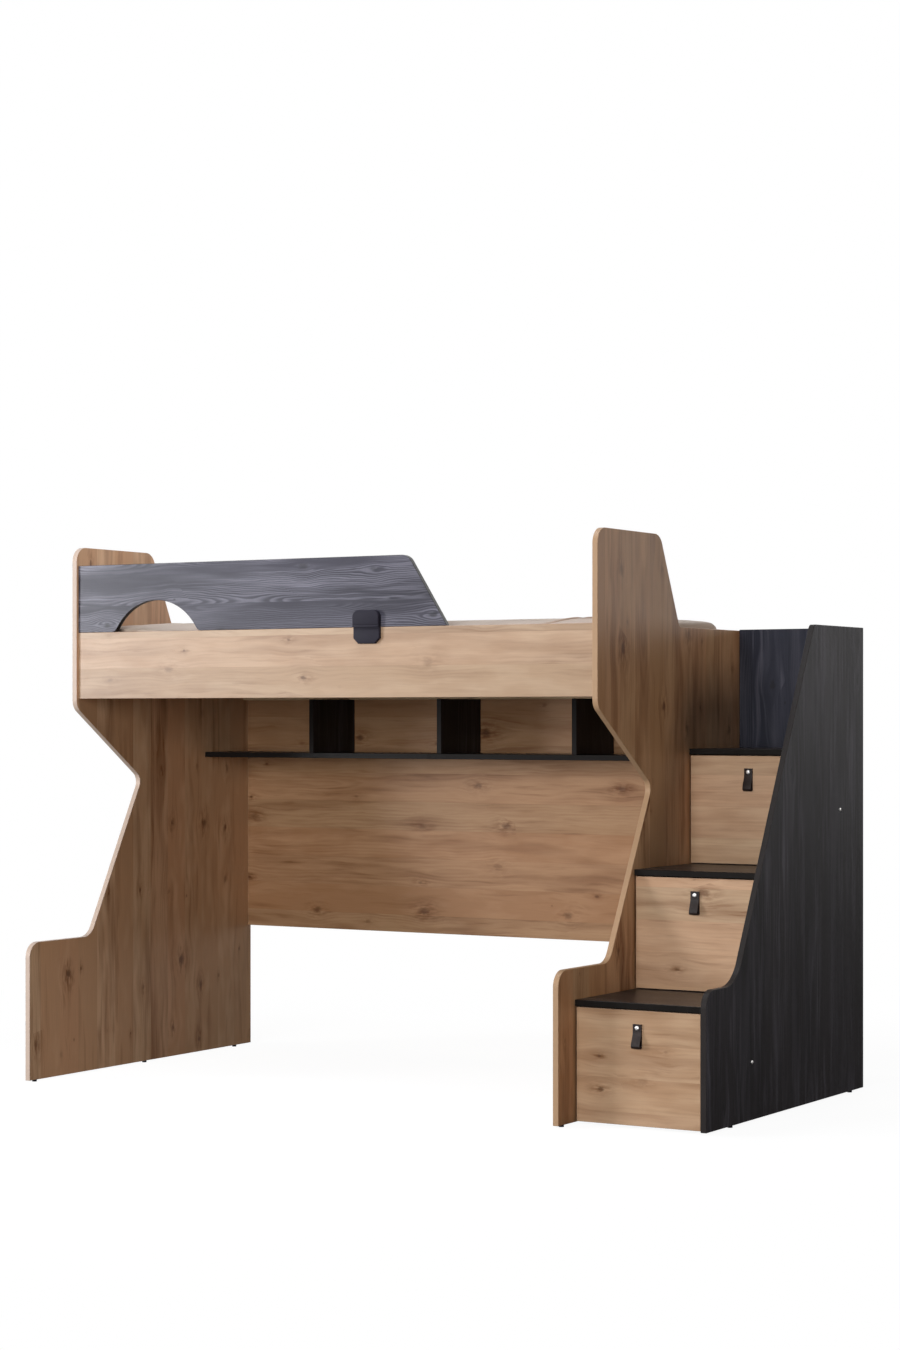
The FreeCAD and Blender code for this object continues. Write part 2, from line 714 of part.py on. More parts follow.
PULL_OUTER = [
    ("0", "0"),
    ("0", "Sizes.pull_height"),
    ("-2 * Sizes.pull_leather", "Sizes.pull_height"),
    ("-2 * Sizes.pull_leather", "Sizes.pull_height - Sizes.pull_clamp"),
    ("-Sizes.pull_depth", "Sizes.pull_depth / 2"),
    ("-Sizes.pull_depth", "0"),
]
PULL_INNER = [
    ("-Sizes.pull_leather", "Sizes.pull_leather"),
    ("-Sizes.pull_leather", "Sizes.pull_height - Sizes.pull_clamp - Sizes.pull_leather"),
    ("-Sizes.pull_depth + Sizes.pull_leather", "Sizes.pull_depth / 2"),
    ("-Sizes.pull_depth + Sizes.pull_leather", "Sizes.pull_leather"),
]
PULL_BEND = "Sizes.pull_bend"
PULL_INNER_BEND = "Sizes.pull_bend - Sizes.pull_leather"
PULL_SCREW_HOLE = "Sizes.pull_screw_shank + Sizes.pin_clearance"


def loop_pull(label, corner):
    """A leather strap folded into a loop: two layers under the screw, open at the lower fold."""
    body = keep(new_body(label, corner))
    pad(body, "YZ_Plane", PULL_OUTER, "Sizes.pull_width")
    round_corners(body, "X", [(PULL_OUTER[0], PULL_BEND), (PULL_OUTER[5], PULL_BEND)])
    loop = new_sketch(body, "YZ_Plane")
    draw_outline(loop, PULL_INNER)
    pocket(body, loop, "Sizes.pull_width", True)
    round_corners(body, "X", [(PULL_INNER[0], PULL_INNER_BEND), (PULL_INNER[3], PULL_INNER_BEND)])
    hole = ("Sizes.pull_width / 2", "Sizes.pull_height - Sizes.pull_screw_drop")
    drill(body, "XZ_Plane", [hole], PULL_SCREW_HOLE, "2 * Sizes.pull_leather", True)


def drawer(step, name, slide):
    """All the pieces of one drawer and the channels that carry it."""
    front_y = f"({step_front(step)} + Sizes.front_recess)"
    box_y = f"({front_y} + Sizes.board)"
    low = f"({opening_floor(step)} + Sizes.front_reveal)"
    front_height = f"({tread_top(step)} - Sizes.board - Sizes.front_reveal - {low})"
    front_width = "(Sizes.stair_width - 2 * Sizes.front_side_reveal)"
    middle = opening_middle(step)
    box_low = f"({middle} - Sizes.box_height / 2)"
    box_width = "(Sizes.stair_width - 2 * Sizes.slide_space)"
    box_x = f"({RIGHT_OUTER} + Sizes.slide_space)"
    channel_low = f"({middle} - Sizes.slide_height / 2)"

    front = flat_board(f"{name}_drawer_front", (f"{RIGHT_OUTER} + Sizes.front_side_reveal", front_y, low),
                       (front_width, "Sizes.board", front_height))
    side = ("Sizes.box_board", slide, "Sizes.box_height")
    flat_board(f"{name}_drawer_left_side", (box_x, box_y, box_low), side)
    right_x = f"({box_x} + {box_width} - Sizes.box_board)"
    flat_board(f"{name}_drawer_right_side", (right_x, box_y, box_low), side)
    flat_board(f"{name}_drawer_back",
               (f"{box_x} + Sizes.box_board", f"{box_y} + {slide} - Sizes.box_board", box_low),
               (f"{box_width} - 2 * Sizes.box_board", "Sizes.box_board", "Sizes.box_height"))
    flat_sheet(f"{name}_drawer_bottom", (box_x, box_y, f"{box_low} - Sizes.bottom_sheet"),
               (box_width, slide, "Sizes.bottom_sheet"))
    channel_pair(f"{name}_drawer_slides", (STAIR_MIDDLE, box_y, channel_low), moving_channel(), slide)
    channel_pair(f"{name}_wall_channels", (STAIR_MIDDLE, box_y, channel_low), fixed_channel(), slide)

    pull_top = f"({low} + {front_height} - Sizes.pull_drop)"
    loop_pull(f"{name}_drawer_pull", (f"{STAIR_MIDDLE} - Sizes.pull_width / 2", front_y,
                                      f"{pull_top} - Sizes.pull_height"))
    screw_up = f"{front_height} - Sizes.pull_drop - Sizes.pull_screw_drop"
    screw_seat = (f"{front_width} / 2", screw_up)
    drill(front, "XZ_Plane", [screw_seat], PULL_SCREW_HOLE, "Sizes.pull_screw_bite", False)
    screw_y = f"{front_y} - 2 * Sizes.pull_leather"
    screw_place = (STAIR_MIDDLE, screw_y, f"{pull_top} - Sizes.pull_screw_drop")
    keep(turned_pin(f"{name}_drawer_pull_screw", screw_place, "YZ_Plane", "pull_screw", -1,
                    "2 * Sizes.pull_leather + Sizes.pull_screw_bite"))


SHORT_SLIDE = "(Sizes.top_tread_depth - Sizes.front_recess - Sizes.board - Sizes.top_drawer_space)"
for step, name in enumerate(STEPS):
    drawer(step, name, SHORT_SLIDE if name == "top" else "Sizes.long_slide")

# Two bolts through the stair's side board hold the lowest and highest wall channels

slide_bolts = []
for step, reach in ((0, "Sizes.low_bolt_reach"), (2, "Sizes.high_bolt_reach")):
    along = f"{step_front(step)} + {reach}"
    up = opening_middle(step)
    seat = (f"{along} - {FRONT} - Sizes.side_setback", f"{up} - {LOW}")
    drill(stair_side, "YZ_Plane", [seat], "Sizes.bolt_shank + Sizes.pin_clearance", "Sizes.board", True)
    bolt_place = (STAIR_OUTER, along, up)
    slide_bolts.append(turned_pin(f"slide_bolt_{step}", bolt_place, "XZ_Plane", "bolt", 1, "Sizes.board"))
group("slide_bolts", slide_bolts)

# Floor glides under the upright boards

GLIDE_PLACES = []
for panel_left in (LEFT_OUTER, RIGHT_INNER):
    for along in (f"{FRONT} + Sizes.glide_front_inset", "0", f"{BACK} - Sizes.glide_back_inset"):
        GLIDE_PLACES.append((f"{panel_left} + Sizes.board / 2", along))
STAIR_GLIDE_FRONT = f"{FRONT} + Sizes.side_setback + Sizes.stair_glide_inset"
for along in (STAIR_GLIDE_FRONT, f"{BACK} - Sizes.glide_back_inset"):
    GLIDE_PLACES.append((f"{STAIR_INNER} + Sizes.board / 2", along))
glides = []
for across, along in GLIDE_PLACES:
    glide = DOC.addObject("Part::Cylinder", f"glide_{len(glides)}")
    glide.setExpression("Radius", "Sizes.glide_diameter / 2")
    glide.setExpression("Height", "Sizes.glide_height")
    put(glide, (across, along, "0"))
    glides.append(glide)
group("floor_glides", glides)

# Every object has to be sound before anything is written

DOC.recompute()
for item in DOC.Objects:
    if "Invalid" in item.State or "Error" in item.State:
        raise ValueError(f"{item.Label} failed to build: {item.State}")
os.makedirs("parts", exist_ok=True)
for piece in NODES:
    if piece.Shape.isNull() or not piece.Shape.isValid() or not piece.Shape.Solids:
        raise ValueError(f"{piece.Label} has no valid solid")
for piece in NODES:
    piece.Shape.exportStep(f"parts/{piece.Label}.step")
print(f"{len(NODES)} sub-parts written")
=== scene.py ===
import math
from types import SimpleNamespace

import bmesh
import bpy
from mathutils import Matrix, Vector
from mathutils.bvhtree import BVHTree


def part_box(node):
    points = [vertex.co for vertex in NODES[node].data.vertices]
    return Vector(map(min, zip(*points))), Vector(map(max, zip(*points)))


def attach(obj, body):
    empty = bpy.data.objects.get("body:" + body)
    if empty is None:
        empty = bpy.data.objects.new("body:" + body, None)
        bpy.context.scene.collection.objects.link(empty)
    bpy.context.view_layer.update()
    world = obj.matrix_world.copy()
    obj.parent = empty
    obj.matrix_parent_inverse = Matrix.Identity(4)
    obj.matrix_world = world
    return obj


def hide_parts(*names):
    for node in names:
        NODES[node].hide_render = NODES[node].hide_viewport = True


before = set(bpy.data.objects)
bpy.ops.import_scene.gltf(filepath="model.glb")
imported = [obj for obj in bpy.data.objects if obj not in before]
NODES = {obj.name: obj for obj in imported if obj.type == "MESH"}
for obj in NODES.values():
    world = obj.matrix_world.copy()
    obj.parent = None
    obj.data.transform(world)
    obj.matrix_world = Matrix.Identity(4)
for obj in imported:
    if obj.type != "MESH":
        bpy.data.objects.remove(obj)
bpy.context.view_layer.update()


# Writing node trees

class Wire:
    """An output in a node tree. Maths on it adds Math nodes to that tree."""

    def __init__(self, graph, socket):
        self.graph = graph
        self.socket = socket

    def maths(self, operation, *others):
        return self.graph.node("ShaderNodeMath", (self, *others), operation=operation)

    def __add__(self, other):
        return self.maths("ADD", other)

    __radd__ = __add__

    def __sub__(self, other):
        return self.maths("SUBTRACT", other)

    def __rsub__(self, other):
        return self.graph.node("ShaderNodeMath", (other, self), operation="SUBTRACT")

    def __mul__(self, other):
        return self.maths("MULTIPLY", other)

    __rmul__ = __mul__

    def __truediv__(self, other):
        return self.maths("DIVIDE", other)

    def __rtruediv__(self, other):
        return self.graph.node("ShaderNodeMath", (other, self), operation="DIVIDE")

    def __pow__(self, power):
        return self.maths("POWER", power)

    def __abs__(self):
        return self.maths("ABSOLUTE")

    def floor(self):
        return self.maths("FLOOR")

    def fraction(self):
        return self.maths("FRACT")

    def sign(self):
        return self.maths("SIGN")

    def sine(self):
        return self.maths("SINE")

    def bell(self, width):
        """1 where this value is 0, falling off over the given width."""
        ratio = self / width
        return (ratio * ratio * -1).maths("EXPONENT")

    def other(self, name):
        """Another output of the same node."""
        return Wire(self.graph, self.socket.node.outputs[name])


class Graph:
    """A node tree being written."""

    def __init__(self, tree):
        self.tree = tree
        tree.nodes.clear()

    def feed(self, socket, value):
        """Links a wire to a socket, or sets the socket's own value."""
        if isinstance(value, Wire):
            self.tree.links.new(value.socket, socket)
        elif socket.type == "RGBA" and len(value) == 3:
            socket.default_value = (*value, 1)
        else:
            socket.default_value = value

    def node(self, kind, sockets=(), output=0, **settings):
        """Adds a node, with its settings first and then its sockets, and returns one of its outputs."""
        made = self.tree.nodes.new(kind)
        for name, value in settings.items():
            setattr(made, name, value)
        pairs = sockets.items() if isinstance(sockets, dict) else enumerate(sockets)
        for key, value in pairs:
            for single in value if isinstance(value, list) else [value]:
                self.feed(made.inputs[key], single)
        return Wire(self, made.outputs[output]) if made.outputs else None

    def vector(self, x, y, z):
        return self.node("ShaderNodeCombineXYZ", (x, y, z))

    def parts(self, vector):
        """The three numbers of a vector or colour."""
        split = self.node("ShaderNodeSeparateXYZ", (vector,))
        return split, split.other("Y"), split.other("Z")


class Finish(Graph):
    """A material being written."""

    def __init__(self, name):
        self.material = bpy.data.materials.new(name)
        self.material.use_nodes = True
        super().__init__(self.material.node_tree)

    def by_axis(self, output):
        """The three numbers of a texture coordinate, by axis letter."""
        return dict(zip("xyz", self.parts(self.node("ShaderNodeTexCoord", output=output))))

    def place(self):
        """Where a point lies in the bed's frame, by axis letter."""
        return self.by_axis("Object")

    def facing(self):
        """Which way the surface faces, by axis letter."""
        return self.by_axis("Normal")

    def noise(self, x, y, z, detail=1.0, roughness=0.5):
        """Smooth noise from 0 to 1 with features about one unit apart."""
        sockets = {"Vector": self.vector(x, y, z), "Scale": 1.0, "Detail": detail, "Roughness": roughness}
        return self.node("ShaderNodeTexNoise", sockets)

    def even_noise(self, place, scale, detail=2.0):
        """Smooth noise of one scale in every direction."""
        return self.noise(place["x"] * scale, place["y"] * scale, place["z"] * scale, detail)

    def luck(self, x, y, z):
        """Three random numbers that stay the same for the same input."""
        dice = self.node("ShaderNodeTexWhiteNoise", {"Vector": self.vector(x, y, z)}, "Color")
        return self.parts(dice)

    def smooth(self, value, low, high):
        """0 below low, 1 above high, with a soft change between them."""
        sockets = (value, low, high, 0.0, 1.0)
        return self.node("ShaderNodeMapRange", sockets, interpolation_type="SMOOTHSTEP")

    def blend(self, share, first, second):
        """Colour that turns from first to second as the share goes from 0 to 1."""
        return self.node("ShaderNodeMix", {0: share, 6: first, 7: second}, 2, data_type="RGBA")

    def shade(self, colour, level):
        """The colour made lighter or darker by a factor."""
        return self.node("ShaderNodeVectorMath", {"Vector": colour, "Scale": level}, operation="SCALE")

    def tint(self, colour, tint):
        """The colour multiplied by another one."""
        return self.node("ShaderNodeVectorMath", (colour, tint), operation="MULTIPLY")

    def bump(self, height, strength, depth):
        return self.node("ShaderNodeBump", {"Height": height, "Strength": strength, "Distance": depth})

    def surface(self, **sockets):
        """The finished surface, from the Principled shader's sockets named with underscores."""
        named = {name.replace("_", " "): value for name, value in sockets.items()}
        named = {name.replace("Ior", "IOR"): value for name, value in named.items()}
        self.output(self.node("ShaderNodeBsdfPrincipled", named))
        return self.material

    def output(self, shader):
        self.node("ShaderNodeOutputMaterial", {"Surface": shader})


# Oak laminate on the boards

STAVE_WIDTH = 0.098
STAVE_SHIFT = 0.377
FACE_SHIFT = 0.31
SEAM_WIDTH = 0.0006
RING_PITCH = 0.011
RING_DEPTH = 0.085
GRAIN_WANDER = 0.034
GRAIN_TREMBLE = 0.011
KNOTS_ALONG = 4.2
KNOTS_ACROSS = 6.6
KNOT_STRETCH = 1.55
KNOT_SIZE = 0.0034
KNOT_GROWTH = 0.0100
KNOT_TAIL = 0.05
KNOT_REACH = 0.055
OAK_BUMP = 0.22
OAK_RELIEF = 0.0004

PALE_OAK = (0.590, 0.380, 0.232)
WARM_OAK = (0.470, 0.275, 0.152)
PINK_STAVE = (1.035, 0.985, 0.970)
YELLOW_STAVE = (0.970, 1.010, 1.010)
OAK_GRAIN = (0.205, 0.083, 0.027)
OAK_KNOT = (0.120, 0.049, 0.018)
RAIL_TINT = (0.895, 0.965, 1.04)
# The back panel's darker tint is painted shade under the bed.
BACK_PAINTED_SHADE_TINT = (0.70, 0.62, 0.54)
DRAWER_TINT = (0.98, 0.995, 1.02)
# The two end panels are one laminate: the left one's lighter tint is painted light, the right one's darker,
# warmer tint is painted shade.
LEFT_PAINTED_LIGHT_TINT = (1.08, 1.05, 1.03)
RIGHT_PAINTED_SHADE_TINT = (0.95, 0.87, 0.78)
OAK_EDGE = (0.440, 0.285, 0.190)
# The left end panel's edge band: the band's own colour made paler and greyer by a painted highlight.
EDGE_WITH_PAINTED_LIGHT = (0.590, 0.450, 0.360)
TAN_EDGE = (0.440, 0.272, 0.155)
GUARD_OAK = (0.012, 0.011, 0.018), (0.040, 0.036, 0.055)
NAVY_OAK = (0.006, 0.007, 0.012), (0.014, 0.015, 0.026)
CHARCOAL_OAK = (0.005, 0.004, 0.005), (0.025, 0.021, 0.023)
TREAD_OAK = (0.007, 0.005, 0.004), (0.015, 0.011, 0.008)
LIMED_GRAIN = (0.195, 0.185, 0.225)
DARK_KNOT = (0.010, 0.009, 0.011)
DARK_EDGE = (0.010, 0.008, 0.007)
SLATE_EDGE = (0.028, 0.024, 0.023)


def oak_knots(finish, along, across, salt):
    """Scattered knots: their cores, brown halos and tails, and how far they push the grain aside."""
    knot_along = along * KNOTS_ALONG + 17.3 * salt
    knot_across = across * KNOTS_ACROSS + 5.7 * salt
    cell = finish.node(
        "ShaderNodeTexVoronoi",
        {"Vector": finish.vector(knot_along, knot_across, 0.0), "Scale": 1.0, "Randomness": 0.9},
        "Position",
        voronoi_dimensions="2D",
    )
    cell_along, cell_across, _ = finish.parts(cell)
    chance, girth, strength = finish.parts(cell.other("Color"))
    aside = (knot_along - cell_along) / KNOTS_ALONG
    above = (knot_across - cell_across) / KNOTS_ACROSS
    present = finish.smooth(chance, 0.36, 0.40) * (0.25 + 0.75 * strength)
    size = KNOT_SIZE + KNOT_GROWTH * girth * girth
    ragged = 1.5 * (finish.noise(along * 70, across * 120, salt, 3.0) - 0.5)
    spread = ((aside / KNOT_STRETCH) ** 2 + above * above) ** 0.5 / size + ragged
    smear = finish.noise(along * 30, across * 110, salt + 2.0, 2.0)
    sideways = present * size * 3.2 * above / (abs(above) + size)
    return SimpleNamespace(
        core=present * (1 - finish.smooth(spread, 0.30, 1.45)),
        halo=present * spread.bell(3.3) * finish.smooth(smear, 0.32, 0.62),
        tail=present * (above / size).bell(1.3) * aside.bell(KNOT_TAIL) * finish.smooth(smear, 0.40, 0.65),
        push=sideways * above.bell(KNOT_REACH) * aside.bell(KNOT_REACH),
    )


def oak_figure(finish, axes, seed, fine=1.0):
    """The staves, growth rings, streaks, veins, fibres, pores and knots of a board.

    The axes are the letters of the directions along the grain, across it and through the board.
    The two faces of a board differ. A finer figure has closer rings and streaks.
    """
    place = finish.place()
    through = finish.facing()[axes[2]]
    along = place[axes[0]]
    across = place[axes[1]]
    salt = seed + FACE_SHIFT * through.sign()
    start = seed * STAVE_SHIFT
    row = (across / STAVE_WIDTH + start).floor()
    inside = across - (row + 0.5 - start) * STAVE_WIDTH
    seam = (STAVE_WIDTH / 2 - abs(inside)).bell(SEAM_WIDTH)
    tone, lean, luck = finish.luck(row, salt, 0.5)
    drift = along + 9 * luck + 3 * row
    knots = oak_knots(finish, along, across, salt)

    wander = finish.noise(drift * 1.7, across * 9, salt, 2.0) - 0.5
    tremble = finish.noise(drift * 9, across * 34, salt, 2.0) - 0.5
    bend = GRAIN_WANDER * wander + GRAIN_TREMBLE * tremble - knots.push
    flow = across + bend
    offset = inside + 0.17 * (lean - 0.5) + bend
    depth = RING_DEPTH * (finish.noise(drift * 1.9, lean * 40, salt + 10.0) - 0.3)
    ring = (offset * offset + depth * depth + 0.00002) ** 0.5 * (fine / RING_PITCH)
    phase = (ring + 1.3 * finish.noise(drift * 3, flow * 26, salt + 12.0, 2.0)).fraction()
    late = finish.smooth(phase, 0.15, 0.75) * (1 - finish.smooth(phase, 0.78, 1.0))
    fade = finish.smooth(finish.noise(drift * 1.6, flow * 12, salt + 3.0), 0.38, 0.62)
    patch = finish.smooth(finish.noise(drift * 1.3, flow * 9, salt + 4.0), 0.36, 0.66)
    pool = finish.smooth(finish.noise(drift * 2.0, flow * 17, salt + 5.0, 2.0), 0.44, 0.72)
    streak = finish.smooth(finish.noise(drift * 3.4, flow * (46 * fine), salt + 6.0, 1.6, 0.55), 0.44, 0.76)
    grain = finish.noise(drift * 5, flow * 165, salt + 8.0, 2.0) - 0.5
    fibre = finish.noise(drift * 15, flow * 620, salt + 7.0, 2.0) - 0.5
    pore = finish.smooth(finish.noise(drift * 75, flow * 2300, salt + 9.0), 0.60, 0.70)
    cloud = finish.noise(drift * 1.1, flow * 11, salt + 11.0, 2.0)
    blotch = finish.noise(drift * 6, flow * 20, salt + 13.0, 2.0)
    vein = finish.smooth(finish.noise(drift * 7, flow * 92, salt + 14.0, 2.0), 0.54, 0.72)
    return SimpleNamespace(
        tone=tone,
        hue=lean,
        blotch=finish.smooth(blotch, 0.28, 0.72),
        vein=vein * (0.3 + 0.7 * patch),
        seam=seam,
        line=late * fade,
        pool=pool,
        streak=streak * patch,
        cloud=finish.smooth(cloud, 0.25, 0.75),
        fibre=fibre + 0.9 * grain,
        pore=pore * (0.35 + 0.65 * late),
        knot=knots.core,
        halo=knots.halo,
        tail=knots.tail,
        edge=1 - finish.smooth(abs(through), 0.75, 0.95),
    )


def light_oak(name, axes, seed, tint, gloss, figure=1.0, band=OAK_EDGE, rings=0.15):
    """Pale knotty oak laminate with brown pools, veins and rings, dark knots and a plain edge band.

    The figure scales how far the staves and pools differ, and rings how much the growth rings show. The
    tint holds painted shade for the back panel and the right end panel and painted light for the left end
    panel.
    """
    finish = Finish(name)
    oak = oak_figure(finish, axes, seed)
    paler = 1.2 * (oak.tone - 0.5) + 0.4 * (oak.cloud - 0.5) + 0.6 * (oak.blotch - 0.5)
    colour = finish.blend(0.5 + figure * paler, WARM_OAK, PALE_OAK)
    colour = finish.tint(colour, finish.blend(oak.hue, PINK_STAVE, YELLOW_STAVE))
    broad = 0.34 * oak.pool + 0.28 * oak.streak + 0.32 * (oak.tone - 0.5)
    brown = 0.18 + figure * (broad - 0.18) + rings * oak.line + 0.24 * oak.vein + 0.13 * oak.pore
    brown = brown + 0.14 * oak.seam + 0.60 * oak.halo + 0.30 * oak.tail
    colour = finish.blend(brown, colour, OAK_GRAIN)
    colour = finish.shade(colour, 1 + 0.16 * oak.fibre)
    colour = finish.blend(0.9 * oak.knot, colour, OAK_KNOT)
    # The board's tint: painted shade on the back panel and the right end panel, painted light on the left
    # end panel.
    colour = finish.tint(colour, tint)
    # The edge band; on the left end panel its colour holds a painted highlight.
    colour = finish.blend(oak.edge, colour, finish.shade(band, 1 + 0.10 * oak.fibre))
    relief = 0.15 * oak.fibre - 0.75 * oak.pore - 0.25 * oak.line
    return finish.surface(
        Base_Color=colour,
        Roughness=0.40 + 0.10 * oak.pore - 0.04 * oak.line + 0.06 * oak.edge,
        Specular_Ior_Level=gloss,
        Normal=finish.bump(relief, OAK_BUMP, OAK_RELIEF),
    )


def dark_oak(name, axes, seed, ground, limed, gloss, roughness=0.41, rings=0.10, fine=2.2, band=DARK_EDGE):
    """Black-brown to blue-black oak laminate whose rings and streaks show paler than the ground."""
    finish = Finish(name)
    oak = oak_figure(finish, axes, seed, fine)
    colour = finish.blend(0.2 + 0.4 * oak.tone + 0.4 * oak.cloud, *ground)
    pale = limed * (rings * oak.line + 0.55 * oak.streak + 0.20 * oak.pool)
    colour = finish.blend(pale, colour, LIMED_GRAIN)
    colour = finish.blend(0.5 * oak.pore, colour, DARK_KNOT)
    colour = finish.shade(colour, 1 + 0.24 * oak.fibre)
    colour = finish.blend(0.9 * oak.knot, colour, DARK_KNOT)
    colour = finish.blend(oak.edge, colour, finish.shade(band, 1 + 0.3 * oak.fibre))
    relief = 0.15 * oak.fibre - 0.75 * oak.pore + 0.25 * oak.line
    return finish.surface(
        Base_Color=colour,
        Roughness=roughness + 0.10 * oak.pore - 0.05 * oak.line,
        Specular_Ior_Level=gloss,
        Normal=finish.bump(relief, OAK_BUMP, OAK_RELIEF),
    )


# Plain woods of the bed base and the drawer boxes

PINE = (0.560, 0.395, 0.235)
PINE_RING = (0.380, 0.220, 0.105)
MELAMINE = (0.560, 0.520, 0.470)
MELAMINE_FLECK = (0.420, 0.380, 0.330)
SHEET_FACE = (0.500, 0.455, 0.400)
SHEET_EDGE = (0.190, 0.115, 0.066)
LINEN_THREADS = 5200


def pine(name, axes, seed):
    """Planed pine with growth lines, streaks and knots."""
    finish = Finish(name)
    wood = oak_figure(finish, axes, seed)
    colour = finish.blend(0.45 * wood.line + 0.18 * wood.streak + 0.3 * wood.tail, PINE, PINE_RING)
    colour = finish.shade(colour, 1 + 0.14 * wood.fibre)
    colour = finish.blend(0.8 * wood.knot, colour, OAK_KNOT)
    relief = 0.3 * wood.fibre + 0.2 * wood.line
    return finish.surface(
        Base_Color=colour,
        Roughness=0.62 + 0.1 * wood.fibre,
        Specular_Ior_Level=0.3,
        Normal=finish.bump(relief, 0.25, 0.0005),
    )


def drawer_board():
    """Linen-textured pale melamine on the drawer boxes."""
    finish = Finish("drawer_board")
    place = finish.place()
    wave = {axis: (place[axis] * LINEN_THREADS).sine() for axis in "yzx"}
    thread = wave["y"] * wave["z"] + wave["x"] * 0.5
    fleck = finish.smooth(finish.even_noise(place, 140, 3.0), 0.55, 0.75)
    cloud = finish.even_noise(place, 6)
    colour = finish.blend(0.45 * fleck + 0.25 * cloud, MELAMINE, MELAMINE_FLECK)
    return finish.surface(
        Base_Color=colour,
        Roughness=0.48 + 0.08 * cloud,
        Specular_Ior_Level=0.4,
        Normal=finish.bump(thread, 0.12, 0.0002),
    )


def drawer_sheet():
    """Thin hardboard with a pale printed face and a brown raw edge."""
    finish = Finish("drawer_sheet")
    place = finish.place()
    flat = abs(finish.facing()["z"])
    fibre = finish.even_noise(place, 900, 3.0)
    cloud = finish.even_noise(place, 8)
    face = finish.shade(SHEET_FACE, 0.88 + 0.16 * cloud + 0.10 * fibre)
    raw = finish.shade(SHEET_EDGE, 0.7 + 0.6 * fibre)
    colour = finish.blend(finish.smooth(flat, 0.6, 0.9), raw, face)
    return finish.surface(
        Base_Color=colour,
        Roughness=0.55 + 0.15 * fibre,
        Specular_Ior_Level=0.35,
        Normal=finish.bump(fibre, 0.15, 0.0003),
    )


# Plastic, metal, leather and cloth

PLASTIC = (0.014, 0.012, 0.020)
LEATHER = (0.012, 0.007, 0.006)
LEATHER_WORN = (0.030, 0.018, 0.015)
LEATHER_EDGE = (0.045, 0.023, 0.014)
NICKEL = (0.660, 0.630, 0.600)
ZINC = (0.480, 0.490, 0.500)
ZINC_DULL = (0.330, 0.340, 0.355)
TICKING = (0.730, 0.575, 0.460)
TICKING_SHADE = (0.600, 0.460, 0.360)
TAPE = (0.700, 0.550, 0.440)
LEATHER_PEBBLES = 1400.0
RIBS_ALONG = 2400
RIBS_ACROSS = 1700
RIB_WAVES = 1200


def moulded_plastic(name):
    """Fine-grained blue-black moulded plastic with faint clouding."""
    finish = Finish(name)
    place = finish.place()
    grain = finish.even_noise(place, 1500)
    cloud = finish.even_noise(place, 40)
    return finish.surface(
        Base_Color=finish.shade(PLASTIC, 0.85 + 0.2 * grain + 0.2 * cloud),
        Roughness=0.46 + 0.18 * grain,
        Specular_Ior_Level=0.15,
        Normal=finish.bump(grain, 0.2, 0.0002),
    )


def pull_leather():
    """Dark brown strap leather with a pebbled grain, fine creases and burnished cut edges."""
    finish = Finish("pull_leather")
    place = finish.place()
    cut = finish.smooth(abs(finish.facing()["x"]), 0.45, 0.8)
    spot = finish.vector(place["x"], place["y"], place["z"])
    pebble = finish.node("ShaderNodeTexVoronoi", {"Vector": spot, "Scale": LEATHER_PEBBLES}, "Distance")
    fold = finish.noise(place["x"] * 60, place["y"] * 240, place["z"] * 420, 3.0)
    crease = finish.smooth(fold, 0.56, 0.72)
    wear = finish.noise(place["x"] * 70, place["y"] * 70, place["z"] * 50, 3.0)
    colour = finish.blend(0.7 * finish.smooth(wear, 0.45, 0.8) + 0.25 * crease, LEATHER, LEATHER_WORN)
    fibre = finish.noise(place["x"] * 3000, place["y"] * 900, place["z"] * 900, 2.0)
    colour = finish.blend(cut, colour, finish.shade(LEATHER_EDGE, 0.7 + 0.6 * fibre))
    relief = pebble * 0.8 - 0.5 * crease
    return finish.surface(
        Base_Color=colour,
        Roughness=0.50 + 0.16 * pebble - 0.12 * wear + 0.12 * cut,
        Specular_Ior_Level=0.22,
        Normal=finish.bump(relief, 0.35, 0.0004),
    )


def brushed_metal(name, bright, dull, roughness):
    """Plated steel with fine brush marks and faint clouding."""
    finish = Finish(name)
    place = finish.place()
    brush = finish.noise(place["x"] * 2200, place["y"] * 120, place["z"] * 2200, 2.0)
    cloud = finish.noise(place["x"] * 60, place["y"] * 25, place["z"] * 60, 2.0)
    return finish.surface(
        Base_Color=finish.blend(0.6 * cloud + 0.25 * brush, bright, dull),
        Metallic=1.0,
        Roughness=roughness + 0.14 * brush + 0.06 * cloud,
        Normal=finish.bump(brush, 0.08, 0.0002),
    )


def ticking(name, base, shade):
    """Soft knitted mattress cloth: small ribs, loose fibres and faint creases."""
    finish = Finish(name)
    place = finish.place()
    waved = place["y"] * RIBS_ACROSS + 3 * (place["x"] * RIB_WAVES).sine()
    rib = (place["x"] * RIBS_ALONG).sine() * waved.sine()
    side_rib = (place["z"] * RIBS_ACROSS).sine()
    fuzz = finish.even_noise(place, 700, 3.0)
    cloud = finish.even_noise(place, 5, 3.0)
    askew = place["x"] * 16 + place["y"] * 9
    aslant = place["y"] * 16 - place["x"] * 9
    crease = finish.noise(askew, aslant, 4.0 * place["z"], 2.0)
    colour = finish.blend(0.35 * cloud + 0.35 * fuzz, base, shade)
    colour = finish.shade(colour, 0.96 + 0.06 * rib + 0.03 * side_rib)
    relief = 0.4 * rib + 0.3 * side_rib + 0.5 * fuzz + 2.5 * crease
    return finish.surface(
        Base_Color=colour,
        Roughness=0.86 + 0.08 * fuzz,
        Specular_Ior_Level=0.15,
        Sheen_Weight=0.25,
        Sheen_Roughness=0.5,
        Normal=finish.bump(relief, 0.35, 0.0010),
    )


# Shapes made with Geometry Nodes

SHARP_EDGE = math.radians(35)


